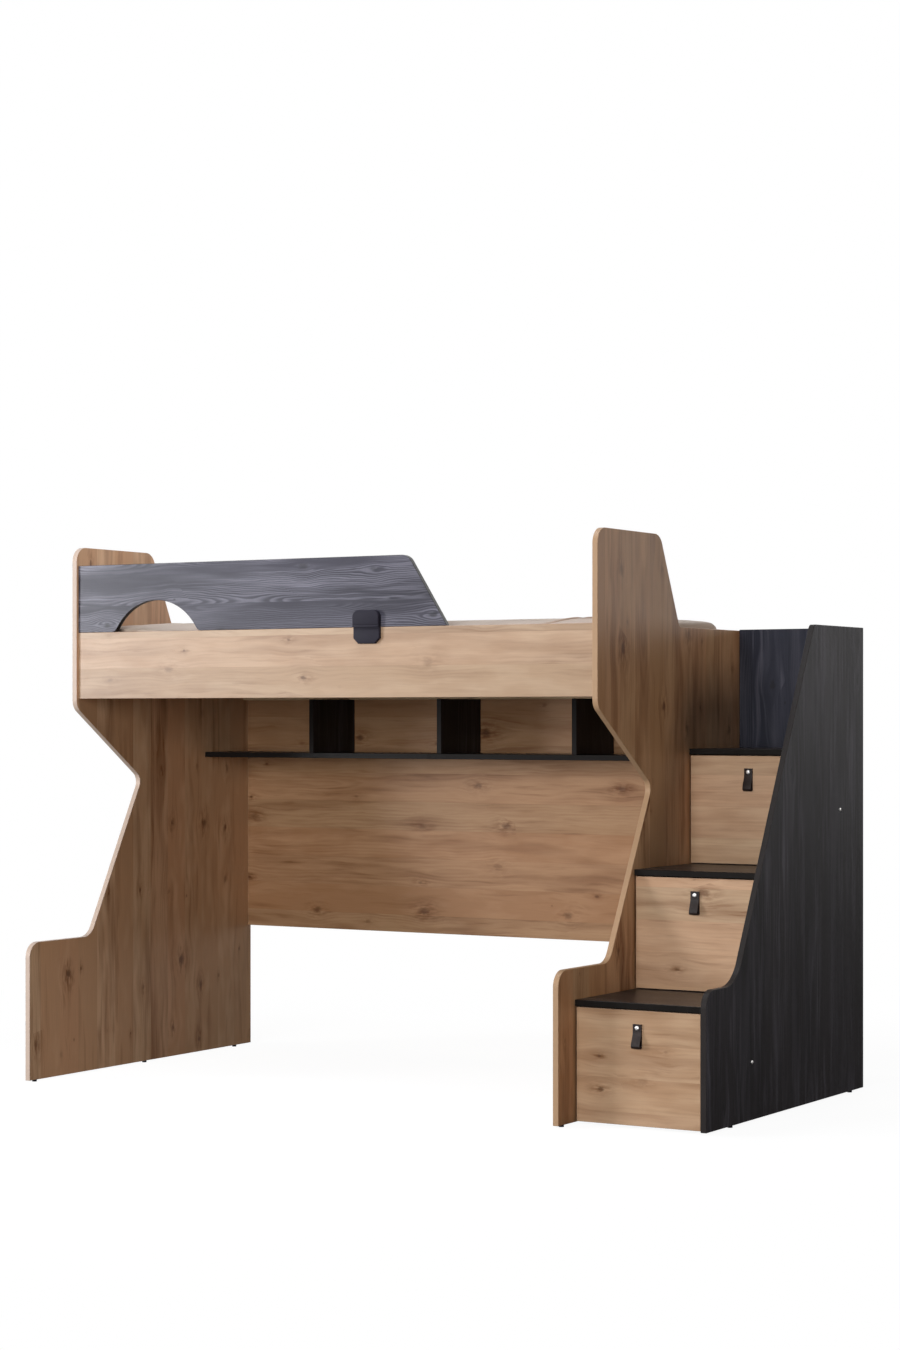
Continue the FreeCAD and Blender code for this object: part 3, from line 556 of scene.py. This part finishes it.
class Shape(Graph):
    """A Geometry Nodes tree being written, with named inputs for its sizes."""

    def __init__(self, name, **sizes):
        super().__init__(bpy.data.node_groups.new(name, "GeometryNodeTree"))
        self.keys = {}
        interface = self.tree.interface
        interface.new_socket("Points", in_out="INPUT", socket_type="NodeSocketGeometry")
        for label, value in sizes.items():
            kind = "NodeSocketVector" if isinstance(value, tuple) else "NodeSocketFloat"
            socket = interface.new_socket(label, in_out="INPUT", socket_type=kind)
            socket.default_value = value
            self.keys[label] = socket.identifier
        interface.new_socket("Geometry", in_out="OUTPUT", socket_type="NodeSocketGeometry")
        self.entry = self.node("NodeGroupInput", output="Points")

    def size(self, label):
        return self.entry.other(label)

    def join(self, *meshes):
        return self.node("GeometryNodeJoinGeometry", {"Geometry": list(meshes)})

    def raised(self, geometry, height):
        """The geometry moved along its own axis."""
        move = self.vector(0.0, 0.0, height)
        return self.node("GeometryNodeTransform", {"Geometry": geometry, "Translation": move})

    def close(self, geometry, material):
        """Ends the tree in plain geometry with its material."""
        whole = self.node("GeometryNodeRealizeInstances", (geometry,))
        dressed = self.node("GeometryNodeSetMaterial", {"Geometry": whole, "Material": material})
        self.node("NodeGroupOutput", {"Geometry": dressed})

    def make(self, name, points, edges=(), **sizes):
        """A plain mesh object from the tree, grown on these points."""
        seed_mesh = bpy.data.meshes.new(name + "_points")
        seed_mesh.from_pydata([tuple(point) for point in points], list(edges), [])
        grower = bpy.data.objects.new(name + "_points", seed_mesh)
        bpy.context.scene.collection.objects.link(grower)
        modifier = grower.modifiers.new("shape", "NODES")
        modifier.node_group = self.tree
        for label, value in sizes.items():
            modifier[self.keys[label]] = value
        mesh = plain_mesh(grower, name)
        bpy.data.objects.remove(grower)
        return placed(name, mesh)


def plain_mesh(source, name):
    """The evaluated mesh of an object, with its modifiers worked in."""
    depsgraph = bpy.context.evaluated_depsgraph_get()
    depsgraph.update()
    mesh = bpy.data.meshes.new_from_object(source.evaluated_get(depsgraph), depsgraph=depsgraph)
    mesh.name = name
    return mesh


def placed(name, mesh):
    """An object at the origin for a mesh that is already in place, shaded smooth up to its sharp edges."""
    mesh.shade_smooth()
    mesh.set_sharp_from_angle(angle=SHARP_EDGE)
    made = bpy.data.objects.new(name, mesh)
    bpy.context.scene.collection.objects.link(made)
    return made


def screw_shape(material):
    """A button-headed screw with a cross recess, set on each point and turned about its own axis."""
    shape = Shape(
        "button_screw",
        head_radius=0.0065,
        head_height=0.003,
        shank_radius=0.002,
        shank_length=0.015,
        recess_length=0.006,
        recess_width=0.0011,
        recess_depth=0.0012,
        facing=(0.0, 0.0, 1.0),
        seed=1.0,
    )
    radius = shape.size("head_radius")
    height = shape.size("head_height")
    ball = shape.node("GeometryNodeMeshUVSphere", {"Segments": 40, "Rings": 24, "Radius": 1.0})
    x, y, z = shape.parts(shape.node("GeometryNodeInputPosition"))
    dome = z.maths("MAXIMUM", 0.0) ** 0.55 * height
    pressed = shape.vector(x * radius, y * radius, dome)
    head = shape.node("GeometryNodeSetPosition", {"Geometry": ball, "Position": pressed})
    recess = shape.size("recess_depth") * 2
    long_side = shape.size("recess_length")
    short_side = shape.size("recess_width")
    for across, along in ((long_side, short_side), (short_side, long_side)):
        bar = shape.node("GeometryNodeMeshCube", {"Size": shape.vector(across, along, recess)})
        cut = {"Mesh 1": head, "Mesh 2": shape.raised(bar, height)}
        head = shape.node("GeometryNodeMeshBoolean", cut, solver="EXACT", operation="DIFFERENCE")
    length = shape.size("shank_length")
    shank = shape.node(
        "GeometryNodeMeshCylinder",
        {"Vertices": 20, "Radius": shape.size("shank_radius"), "Depth": length},
    )
    shank = shape.raised(shank, length * -0.5)
    aim = shape.node("FunctionNodeAlignRotationToVector", {"Vector": shape.size("facing")}, axis="Z")
    screws = shape.node(
        "GeometryNodeInstanceOnPoints",
        {"Points": shape.entry, "Instance": shape.join(head, shank), "Rotation": aim},
    )
    turn = shape.node(
        "FunctionNodeRandomValue",
        {2: 0.0, 3: math.pi / 2, "Seed": shape.size("seed")},
        1,
        data_type="FLOAT",
    )
    spin = shape.node("FunctionNodeAxisAngleToRotation", {"Axis": (0.0, 0.0, 1.0), "Angle": turn})
    turned = {"Instances": screws, "Rotation": spin, "Local Space": True}
    shape.close(shape.node("GeometryNodeRotateInstances", turned), material)
    return shape


def tape_shape(material):
    """A round binding tape along a closed path of edges."""
    shape = Shape("binding_tape", tape_radius=0.004)
    path = shape.node("GeometryNodeMeshToCurve", (shape.entry,))
    rim = shape.node(
        "GeometryNodeCurvePrimitiveCircle",
        {"Resolution": 10, "Radius": shape.size("tape_radius")},
        mode="RADIUS",
    )
    shape.close(shape.node("GeometryNodeCurveToMesh", (path, rim)), material)
    return shape


def stitch_shape(material):
    """Short thread stitches at an even pitch along a path of edges."""
    shape = Shape("stitches", pitch=0.009, stitch_length=0.0055, thread_radius=0.0006)
    path = shape.node("GeometryNodeMeshToCurve", (shape.entry,))
    evenly = {"Curve": path, "Length": shape.size("pitch")}
    steps = shape.node("GeometryNodeResampleCurve", evenly, mode="LENGTH")
    thread = shape.node("GeometryNodeMeshUVSphere", {"Segments": 6, "Rings": 4, "Radius": 1.0})
    radius = shape.size("thread_radius")
    stretch = shape.vector(shape.size("stitch_length") * 0.5, radius, radius)
    thread = shape.node("GeometryNodeTransform", {"Geometry": thread, "Scale": stretch})
    tangent = shape.node("GeometryNodeInputTangent")
    lie = shape.node("FunctionNodeAlignRotationToVector", {"Vector": tangent}, axis="X")
    sewn = {"Points": steps, "Instance": thread, "Rotation": lie}
    shape.close(shape.node("GeometryNodeInstanceOnPoints", sewn), material)
    return shape


# Mattress: pumped up as cloth from its solid, then quilted and bound with tape

MATTRESS_VOXEL = 0.015
MATTRESS_SLACK = 0.005
MATTRESS_SWELL = 0.008
MATTRESS_ROLL = 0.030
MATTRESS_ROUND = 0.090
MATTRESS_DIP = 0.021
MATTRESS_RISE = 0.010
MATTRESS_END = 0.009
WORN_REACH = 0.7
END_REACH = 0.25
CLOTH_STEPS = 20
PIN_REACH = MATTRESS_VOXEL * 0.6
QUILT_PITCH = 0.150
QUILT_WIDTH = 0.009
QUILT_DEPTH = 0.0035
QUILT_SLOPE = 1.35
QUILT_SPREAD = 1.68
QUILT_FADE = 0.20
LOOP_POINTS = 240
SEAM_INSET = MATTRESS_ROLL * (1 - math.sqrt(0.5))
UPPER_SEAM_DROP = 0.024
UPPER_TAPE_DROP = 0.0238
TAPE_RADIUS = 0.0042
STITCH_INSET = 0.034
STITCH_DROP = 0.010


def swell(piece, pinned):
    """The mesh of a closed piece pumped up as cloth, with its pinned points held."""
    group = piece.vertex_groups.new(name="sewn")
    group.add(pinned, 1.0, "REPLACE")
    cloth = piece.modifiers.new("pumped", "CLOTH")
    cloth.settings.vertex_group_mass = "sewn"
    cloth.settings.use_pressure = True
    cloth.settings.uniform_pressure_force = 4.0
    cloth.settings.effector_weights.gravity = 0
    cloth.settings.quality = 5
    cloth.settings.tension_stiffness = 15
    cloth.settings.bending_stiffness = 2
    cloth.collision_settings.use_collision = False
    scene = bpy.context.scene
    for step in range(1, CLOTH_STEPS + 1):
        scene.frame_set(step)
    mesh = plain_mesh(piece, piece.name)
    scene.frame_set(1)
    piece.modifiers.remove(cloth)
    return mesh


def rounded_loop(half_length, half_width, corner, count):
    """Evenly spaced points round a rectangle with round corners."""
    straight = 2 * (half_length - corner)
    crossing = 2 * (half_width - corner)
    arc = corner * math.pi / 2
    total = 2 * (straight + crossing) + 4 * arc
    points = []
    for index in range(count):
        run = index * total / count
        turn = 0
        x, y = half_length - corner, half_width
        while True:
            side = crossing if turn % 2 else straight
            angle = -turn * math.pi / 2
            ahead = Vector((-math.cos(angle), math.sin(angle)))
            out = Vector((math.sin(-angle), math.cos(angle)))
            if run <= side:
                points.append(Vector((x, y)) + ahead * run)
                break
            run -= side
            x, y = Vector((x, y)) + ahead * side
            if run <= arc:
                bend = run / corner
                forward = ahead * corner * math.sin(bend)
                inward = out * corner * (1 - math.cos(bend))
                points.append(Vector((x, y)) + forward - inward)
                break
            run -= arc
            x, y = Vector((x, y)) + (ahead - out) * corner
            turn += 1
    return points


def clamped(value):
    return min(max(value, 0.0), 1.0)


def margin(place, low, high):
    """How far a point lies inside the mattress's outline."""
    middle = (low + high) / 2
    half = (high - low) / 2
    return min(half.x - abs(place.x - middle.x), half.y - abs(place.y - middle.y))


def settled(place, low, high):
    """How far the soft top is pressed down along the front and stands up along the back and at its ends."""
    height = clamped((place.z - low.z) / (high.z - low.z))
    depth = clamped((place.y - low.y) / (high.y - low.y))
    worn = clamped((place.x - low.x) / WORN_REACH)
    end = clamped(1 - min(place.x - low.x, high.x - place.x) / END_REACH)
    return height * (MATTRESS_RISE * depth + MATTRESS_END * end - MATTRESS_DIP * (1 - depth) * worn)


def quilted(mesh, low, high):
    """Presses diamond quilting into the top and keeps the underside flat on the slats."""
    middle = (low + high) / 2
    for vertex in mesh.vertices:
        place = vertex.co
        if place.z > middle.z:
            inside = clamped((margin(place, low, high) - MATTRESS_ROLL) / QUILT_FADE)
            seam = 0.0
            for slant in (QUILT_SLOPE, -QUILT_SLOPE):
                across = (place.x - middle.x + slant * (place.y - middle.y)) / QUILT_SPREAD
                gap = abs((across / QUILT_PITCH + 0.5) % 1 - 0.5) * QUILT_PITCH
                seam = max(seam, math.exp(-((gap / QUILT_WIDTH) ** 2)))
            place.z -= QUILT_DEPTH * inside * seam
        place.z = max(place.z + settled(place, low, high), low.z)


def seam_points(mesh, low, high):
    """The points along the two seams, which hold the cloth while it is pumped up."""
    pinned = []
    for vertex in mesh.vertices:
        lower = abs(vertex.co.z - low.z - SEAM_INSET)
        upper = abs(vertex.co.z - high.z + UPPER_SEAM_DROP)
        if margin(vertex.co, low, high) < MATTRESS_ROLL and min(lower, upper) < PIN_REACH:
            pinned.append(vertex.index)
    return pinned


def pumped_up(cover, low, high):
    """The cover's mesh pumped up as cloth, with a limit on how far each point may move."""
    before = [vertex.co.copy() for vertex in cover.data.vertices]
    pumped = swell(cover, seam_points(cover.data, low, high))
    for vertex, start in zip(pumped.vertices, before):
        move = vertex.co - start
        vertex.co = start + move * min(1.0, MATTRESS_SWELL / max(move.length, 1e-9))
    return pumped


def mattress_cover(low, high):
    """The cover, made from the mattress's solid: remeshed, pumped up, smoothed and quilted."""
    body = bmesh.new()
    body.from_mesh(NODES["mattress"].data)
    bmesh.ops.remove_doubles(body, verts=body.verts, dist=0.0001)
    mesh = bpy.data.meshes.new("mattress_cover")
    body.to_mesh(mesh)
    body.free()
    cover = bpy.data.objects.new("mattress_cover", mesh)
    bpy.context.scene.collection.objects.link(cover)
    remesh = cover.modifiers.new("even", "REMESH")
    remesh.mode = "VOXEL"
    remesh.voxel_size = MATTRESS_VOXEL
    even = plain_mesh(cover, "mattress_cover")
    cover.modifiers.remove(remesh)
    slack = [vertex.normal * MATTRESS_SLACK for vertex in even.vertices]
    for vertex, inward in zip(even.vertices, slack):
        vertex.co -= inward
    cover.data = even
    cover.data = pumped_up(cover, low, high)
    cover.vertex_groups.clear()
    fine = cover.modifiers.new("fine", "SUBSURF")
    fine.levels = 1
    fine.render_levels = 1
    final = plain_mesh(cover, "mattress_cover")
    cover.modifiers.remove(fine)
    quilted(final, low, high)
    final.shade_smooth()
    cover.data = final
    final.materials.clear()
    final.materials.append(ticking("mattress_cloth", TICKING, TICKING_SHADE))
    return cover


def cover_loop(tree, low, high, inset, height):
    """Points on the cover's surface along a rounded rectangle, set in from the mattress's outline."""
    middle = (low + high) / 2
    half = (high - low) / 2
    path = []
    for point in rounded_loop(half.x - inset, half.y - inset, MATTRESS_ROUND, LOOP_POINTS):
        nominal = Vector((middle.x + point.x, middle.y + point.y, height))
        nominal.z += settled(nominal, low, high)
        path.append(tree.find_nearest(nominal)[0])
    return path


def mattress_pieces():
    """The mattress cover with its two binding tapes and the stitches on its top."""
    low, high = (Vector(corner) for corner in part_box("mattress"))
    cover = mattress_cover(low, high)
    points = [vertex.co for vertex in cover.data.vertices]
    faces = [tuple(face.vertices) for face in cover.data.polygons]
    tree = BVHTree.FromPolygons(points, faces)
    upper = cover_loop(tree, low, high, SEAM_INSET, high.z - UPPER_TAPE_DROP)
    inner = cover_loop(tree, low, high, STITCH_INSET, high.z - STITCH_DROP)
    lower = cover_loop(tree, low, high, SEAM_INSET, low.z + SEAM_INSET)
    ring = [(index, (index + 1) % LOOP_POINTS) for index in range(LOOP_POINTS)]
    binding = tape_shape(ticking("mattress_tape_cloth", TAPE, TICKING))
    sewing = stitch_shape(ticking("mattress_thread", TAPE, TICKING_SHADE))
    trims = [
        binding.make("mattress_upper_tape", upper, ring, tape_radius=TAPE_RADIUS),
        sewing.make("mattress_stitches", inner, ring),
        binding.make("mattress_lower_tape", lower, ring, tape_radius=TAPE_RADIUS),
    ]
    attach(cover, "frame")
    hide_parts("mattress")
    for trim in trims:
        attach(trim, "frame")


# Leather loop pulls

PULL_LEATHER = 0.0024
PULL_CLAMP = 0.024
PULL_BEND = 0.0076
PULL_EDGE = 0.0007


def strap_section(width, thickness, edge):
    """A flat strap's outline with softly rounded corners, as points across and through it."""
    outline = []
    for side, face in ((1, -1), (1, 1), (-1, 1), (-1, -1)):
        for step in range(4):
            angle = math.atan2(face, side) - math.pi / 4 + step * math.pi / 6
            across = side * (width / 2 - edge) + edge * math.cos(angle)
            through = face * (thickness / 2 - edge) + edge * math.sin(angle)
            outline.append((across, through))
    return outline


def pull_path(depth, height):
    """The strap's middle line, as distances out from the drawer front and up from the loop's foot."""
    inner = PULL_LEATHER / 2
    outer = depth - PULL_LEATHER / 2
    path = []
    for step in range(9):
        path.append((inner, height + (PULL_BEND - height) * step / 8))
    for step in range(1, 16):
        angle = math.pi * step / 16
        across = (outer - inner) / 2
        out = inner + across * (1 - math.cos(angle))
        path.append((out, PULL_BEND - (PULL_BEND - inner) * math.sin(angle)))
    top = height - PULL_CLAMP
    laid = PULL_LEATHER * 1.5
    for step in range(15):
        risen = step / 14
        ease = 0.35 * risen + 0.65 * risen * risen * (3 - 2 * risen)
        path.append((outer + (laid - outer) * ease, PULL_BEND + (top - PULL_BEND) * risen))
    for step in range(1, 6):
        path.append((laid, top + PULL_CLAMP * step / 5))
    return path


def loop_pull(step, material):
    """A strap folded into a loop, both ends laid together on the drawer front."""
    low, high = (Vector(corner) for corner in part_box(f"{step}_drawer_pull"))
    middle = (low.x + high.x) / 2
    outline = strap_section(high.x - low.x, PULL_LEATHER, PULL_EDGE)
    path = pull_path(high.y - low.y, high.z - low.z)
    body = bmesh.new()
    rings = []
    for index, (out, up) in enumerate(path):
        before = path[max(index - 1, 0)]
        after = path[min(index + 1, len(path) - 1)]
        run = Vector((after[0] - before[0], after[1] - before[1])).normalized()
        ring = []
        for across, through in outline:
            place = (middle + across, high.y - out - through * run.y, low.z + up - through * run.x)
            ring.append(body.verts.new(place))
        rings.append(ring)
    for first, second in zip(rings, rings[1:]):
        for index in range(len(outline)):
            following = (index + 1) % len(outline)
            body.faces.new((first[index], first[following], second[following], second[index]))
    body.faces.new(rings[0])
    body.faces.new(rings[-1])
    bmesh.ops.recalc_face_normals(body, faces=body.faces)
    mesh = bpy.data.meshes.new(f"{step}_pull_loop")
    body.to_mesh(mesh)
    body.free()
    mesh.materials.append(material)
    loop = placed(f"{step}_pull_loop", mesh)
    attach(loop, f"{step}_drawer")
    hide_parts(f"{step}_drawer_pull")


# Screws and bolts

PULL_SCREW_CAP = 0.003
BOLT_CAP = 0.003
BOLT_RADIUS = 0.0055
BOLT_SHANK = 0.0025
BOLT_RECESS = 0.005


def pull_screw(step, screw):
    """The nickel screw through both ends of a pull."""
    node = f"{step}_drawer_pull_screw"
    low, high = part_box(node)
    head_face = low[1] + PULL_SCREW_CAP
    piece = screw.make(
        f"{step}_pull_button_screw",
        [((low[0] + high[0]) / 2, head_face, (low[2] + high[2]) / 2)],
        head_radius=(high[0] - low[0]) / 2,
        head_height=PULL_SCREW_CAP,
        shank_length=high[1] - head_face,
        facing=(0.0, -1.0, 0.0),
        seed=float(len(step)),
    )
    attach(piece, f"{step}_drawer")
    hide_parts(node)


def side_bolts(screw):
    """The two bolt heads on the outside of the stair side."""
    low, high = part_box("slide_bolts")
    plane = high[0] - BOLT_CAP
    lower = (plane, low[1] + BOLT_RADIUS, low[2] + BOLT_RADIUS)
    upper = (plane, high[1] - BOLT_RADIUS, high[2] - BOLT_RADIUS)
    piece = screw.make(
        "stair_side_bolts",
        [lower, upper],
        head_radius=BOLT_RADIUS,
        head_height=BOLT_CAP,
        shank_radius=BOLT_SHANK,
        shank_length=plane - low[0],
        recess_length=BOLT_RECESS,
        facing=(1.0, 0.0, 0.0),
        seed=3.0,
    )
    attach(piece, "frame")
    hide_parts("slide_bolts")


# Guard bracket

BRACKET_ROUND = 0.0014
BRACKET_CORNER = math.radians(25)
BRACKET_CREASE = math.radians(40)


def moulded_bracket(material):
    """The bracket's solid with moulded, rounded edges."""
    solid = bmesh.new()
    solid.from_mesh(NODES["guard_bracket"].data)
    bmesh.ops.remove_doubles(solid, verts=solid.verts, dist=0.00005)
    bmesh.ops.dissolve_limit(solid, angle_limit=0.01, verts=solid.verts, edges=solid.edges)
    mesh = bpy.data.meshes.new("moulded_bracket")
    solid.to_mesh(mesh)
    solid.free()
    mesh.materials.clear()
    mesh.materials.append(material)
    piece = placed("moulded_bracket", mesh)
    round_edge = piece.modifiers.new("round", "BEVEL")
    round_edge.width = BRACKET_ROUND
    round_edge.segments = 3
    round_edge.limit_method = "ANGLE"
    round_edge.angle_limit = BRACKET_CORNER
    round_edge.use_clamp_overlap = True
    soft = plain_mesh(piece, "moulded_bracket")
    piece.modifiers.remove(round_edge)
    soft.shade_smooth()
    soft.set_sharp_from_angle(angle=BRACKET_CREASE)
    piece.data = soft
    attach(piece, "frame")
    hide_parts("guard_bracket")


# Finishes on the CAD pieces

STEPS = ("bottom", "middle", "top")
FLAT_FRONT = "xzy"
UPRIGHT_END = "zyx"
UPRIGHT_BACK = "zxy"
LEVEL = "xyz"
LEVEL_CROSSWISE = "yxz"
SEED_STEP = 1.7


def dress(node, material):
    for place in NODES[node].material_slots:
        place.material = material


def dress_in_light_oak(node, axes, seed, tint, gloss, **look):
    dress(node, light_oak(f"light_oak_{node}", axes, seed, tint, gloss, **look))


def dress_in_dark_oak(node, axes, seed, ground, limed, gloss, **look):
    dress(node, dark_oak(f"dark_oak_{node}", axes, seed, ground, limed, gloss, **look))


def dress_in_pine(node, axes, seed):
    dress(node, pine(f"pine_{node}", axes, seed))


def dress_boards():
    """Each board gets a wood of its own, so that no two have the same figure."""
    for index, node in enumerate(("front_rail", "rear_rail")):
        dress_in_light_oak(node, FLAT_FRONT, 1.0 + index * SEED_STEP, RAIL_TINT, gloss=0.5)
    # The back panel's tint is painted shade under the bed.
    dress_in_light_oak("back_panel", FLAT_FRONT, 5.3, BACK_PAINTED_SHADE_TINT, gloss=0.26, figure=1.25)
    for index, step in enumerate(STEPS):
        seed = 9.4 + index * SEED_STEP
        dress_in_light_oak(f"{step}_drawer_front", FLAT_FRONT, seed, DRAWER_TINT, gloss=0.36, rings=0.07)
    end_look = {"gloss": 0.31, "figure": 1.5}
    # The left end panel's lighter tint is painted light; the right end panel's darker, warmer tint is
    # painted shade.
    # The left end panel's pale edge band holds a painted highlight.
    dress_in_light_oak("left_end_panel", UPRIGHT_END, 12.6, LEFT_PAINTED_LIGHT_TINT, band=EDGE_WITH_PAINTED_LIGHT, **end_look)
    dress_in_light_oak("right_end_panel", UPRIGHT_END, 14.3, RIGHT_PAINTED_SHADE_TINT, band=TAN_EDGE, **end_look)
    guard_look = {"limed": 1.35, "gloss": 0.28, "roughness": 0.35, "rings": 0.42}
    dress_in_dark_oak("guard_rail", FLAT_FRONT, 27.3, GUARD_OAK, **guard_look)
    dress_in_dark_oak("stair_back_panel", UPRIGHT_BACK, 23.1, NAVY_OAK, limed=0.6, gloss=0.16, fine=1.3)
    side_look = {"limed": 0.7, "gloss": 0.08, "fine": 1.3, "band": SLATE_EDGE}
    dress_in_dark_oak("stair_side_panel", UPRIGHT_END, 24.8, CHARCOAL_OAK, **side_look)
    tread_look = {"limed": 0.3, "gloss": 0.09}
    for index, node in enumerate(("shelf_board", *(f"{step}_tread" for step in STEPS))):
        seed = 26.5 + index * SEED_STEP
        dress_in_dark_oak(node, LEVEL, seed, TREAD_OAK, roughness=0.32, **tread_look)
    for index, side in enumerate(("left", "centre", "right")):
        seed = 34.2 + index * SEED_STEP
        dress_in_dark_oak(f"shelf_divider_{side}", UPRIGHT_END, seed, TREAD_OAK, **tread_look)
    for index, node in enumerate(("front_slat_ledge", "rear_slat_ledge")):
        dress_in_pine(node, FLAT_FRONT, 41.0 + index * SEED_STEP)
    dress_in_pine("bed_slats", LEVEL_CROSSWISE, 45.1)


def dress_fittings(plastic, zinc):
    """Finishes on the drawer boxes, slides, glides and hidden fittings."""
    board = drawer_board()
    sheet = drawer_sheet()
    for step in STEPS:
        for part in ("left_side", "right_side", "back"):
            dress(f"{step}_drawer_{part}", board)
        dress(f"{step}_drawer_bottom", sheet)
        dress(f"{step}_drawer_slides", zinc)
        dress(f"{step}_wall_channels", zinc)
    dress("floor_glides", plastic)
    dress("cam_fittings", zinc)
    dress("bracket_screws", zinc)


# Studio: white floor and backdrop, with soft boxes round the bed and over it

FLOOR_SPAN = 60.0
FLOOR_PAINT = (2.2, 2.2, 2.2)
FLOOR_BOUNCE = (0.14, 0.135, 0.13)
FLOOR_WHITE = 0.93
SHADOW_REACH = 2.2
WHITE = (1, 1, 1)
DOME = (0.003, 0.003, 0.003)
GLOSS_DOME = 1.38
GLOSS_FLOOR = 0.06
COOL_LIGHT = (0.94, 0.96, 1.0)
DAY_LIGHT = (0.97, 0.99, 1.0)
SKY_LIGHT = (0.86, 0.91, 1.0)
WARM_LIGHT = (1.0, 0.92, 0.83)


def seen_rays(graph):
    """Two switches: one for rays straight from the camera, one for rays mirrored or through glass."""
    path = graph.node("ShaderNodeLightPath", output="Is Camera Ray")
    mirrored = path.other("Is Glossy Ray").maths("MAXIMUM", path.other("Is Transmission Ray"))
    return path, mirrored


def studio_floor():
    """A wide white floor that keeps a soft shadow near the bed and bounces little light."""
    half = FLOOR_SPAN / 2
    mesh = bpy.data.meshes.new("studio_floor")
    corners = [(-half, -half, 0), (half, -half, 0), (half, half, 0), (-half, half, 0)]
    mesh.from_pydata(corners, [], [(0, 1, 2, 3)])
    floor = bpy.data.objects.new("studio_floor", mesh)
    bpy.context.scene.collection.objects.link(floor)
    finish = Finish("studio_floor")
    straight, mirrored = seen_rays(finish)
    place = finish.place()
    distance = (place["x"] * place["x"] + place["y"] * place["y"]) ** 0.5
    away = finish.smooth(distance, SHADOW_REACH * 0.6, SHADOW_REACH * 1.6)
    clear = FLOOR_WHITE + (1 - FLOOR_WHITE) * away
    white = finish.node("ShaderNodeEmission", {"Color": WHITE, "Strength": 1.0})
    paint = finish.node("ShaderNodeBsdfDiffuse", {"Color": FLOOR_PAINT})
    seen = finish.node("ShaderNodeMixShader", (clear, paint, white))
    dim = finish.node("ShaderNodeEmission", {"Color": WHITE, "Strength": GLOSS_FLOOR})
    bounce = finish.node("ShaderNodeBsdfDiffuse", {"Color": FLOOR_BOUNCE})
    unseen = finish.node("ShaderNodeMixShader", (mirrored, bounce, dim))
    finish.output(finish.node("ShaderNodeMixShader", (straight, unseen, seen)))
    mesh.materials.append(finish.material)


def studio_world():
    """A white backdrop for the camera, a pale one in reflections and next to no light of its own."""
    world = bpy.data.worlds.new("studio")
    world.use_nodes = True
    bpy.context.scene.world = world
    graph = Graph(world.node_tree)
    straight, mirrored = seen_rays(graph)
    dome = graph.node("ShaderNodeBackground", {"Color": DOME, "Strength": 1.0})
    gloss = graph.node("ShaderNodeBackground", {"Color": WHITE, "Strength": GLOSS_DOME})
    white = graph.node("ShaderNodeBackground", {"Color": WHITE, "Strength": 1.0})
    unseen = graph.node("ShaderNodeMixShader", (mirrored, dome, gloss))
    shown = graph.node("ShaderNodeMixShader", (straight, unseen, white))
    graph.node("ShaderNodeOutputWorld", {"Surface": shown})


def soft_box(name, place, target, size, power, colour):
    """A rectangular lamp aimed at a point and hidden from the camera."""
    lamp = bpy.data.lights.new(name, "AREA")
    lamp.shape = "RECTANGLE"
    lamp.size, lamp.size_y = size
    lamp.energy = power
    lamp.color = colour
    stand = bpy.data.objects.new(name, lamp)
    bpy.context.scene.collection.objects.link(stand)
    stand.location = place
    stand.rotation_euler = (Vector(target) - Vector(place)).to_track_quat("-Z", "Y").to_euler()
    stand.visible_camera = False


# Camera at the photograph's angle

PHOTO_HEIGHT = 1350
FOCAL_PIXELS = 2785.8
HORIZON_ROW = 716.14
CAMERA_PLACE = (4.5978, -7.6099, 1.1795)
CAMERA_YAW = math.radians(30.9523)
SENSOR = 36.0


def photo_camera():
    """A level camera, shifted so that the horizon lies where the photograph has it."""
    camera = bpy.data.cameras.new("photo_camera")
    camera.sensor_width = SENSOR
    camera.lens = SENSOR * FOCAL_PIXELS / PHOTO_HEIGHT
    camera.shift_y = (HORIZON_ROW - PHOTO_HEIGHT / 2) / PHOTO_HEIGHT
    camera.clip_end = 200
    stand = bpy.data.objects.new("photo_camera", camera)
    stand.location = CAMERA_PLACE
    stand.rotation_euler = (math.pi / 2, 0, CAMERA_YAW)
    bpy.context.scene.collection.objects.link(stand)
    bpy.context.scene.camera = stand


# The bed in its studio

black_plastic = moulded_plastic("black_plastic")
zinc_steel = brushed_metal("zinc_steel", ZINC, ZINC_DULL, 0.30)
nickel_screw = screw_shape(brushed_metal("nickel", NICKEL, ZINC, 0.38))
strap_leather = pull_leather()
dress_boards()
dress_fittings(black_plastic, zinc_steel)
mattress_pieces()
moulded_bracket(black_plastic)
side_bolts(nickel_screw)
for drawer in STEPS:
    loop_pull(drawer, strap_leather)
    pull_screw(drawer, nickel_screw)

studio_floor()
studio_world()
soft_box("side_box", (-7.2, -5.8, 1.8), (-0.4, 0.0, 1.2), size=(2.6, 3.0), power=478, colour=COOL_LIGHT)
soft_box("front_box", (1.6, -9.2, 2.2), (0.0, 0.0, 0.9), size=(4.4, 4.0), power=562, colour=DAY_LIGHT)
soft_box("bed_box", (-0.2, -0.8, 3.2), (-0.6, 0.1, 1.5), size=(1.2, 1.0), power=26, colour=SKY_LIGHT)
soft_box("far_box", (6.5, 0.5, 3.6), (-1.2, 0.0, 1.5), size=(2.0, 2.0), power=66, colour=WARM_LIGHT)
soft_box("rear_box", (-1.5, 9.0, 3.0), (0.0, 0.6, 1.0), size=(5.0, 3.0), power=330, colour=DAY_LIGHT)
photo_camera()
bpy.context.scene.view_settings.view_transform = "Standard"
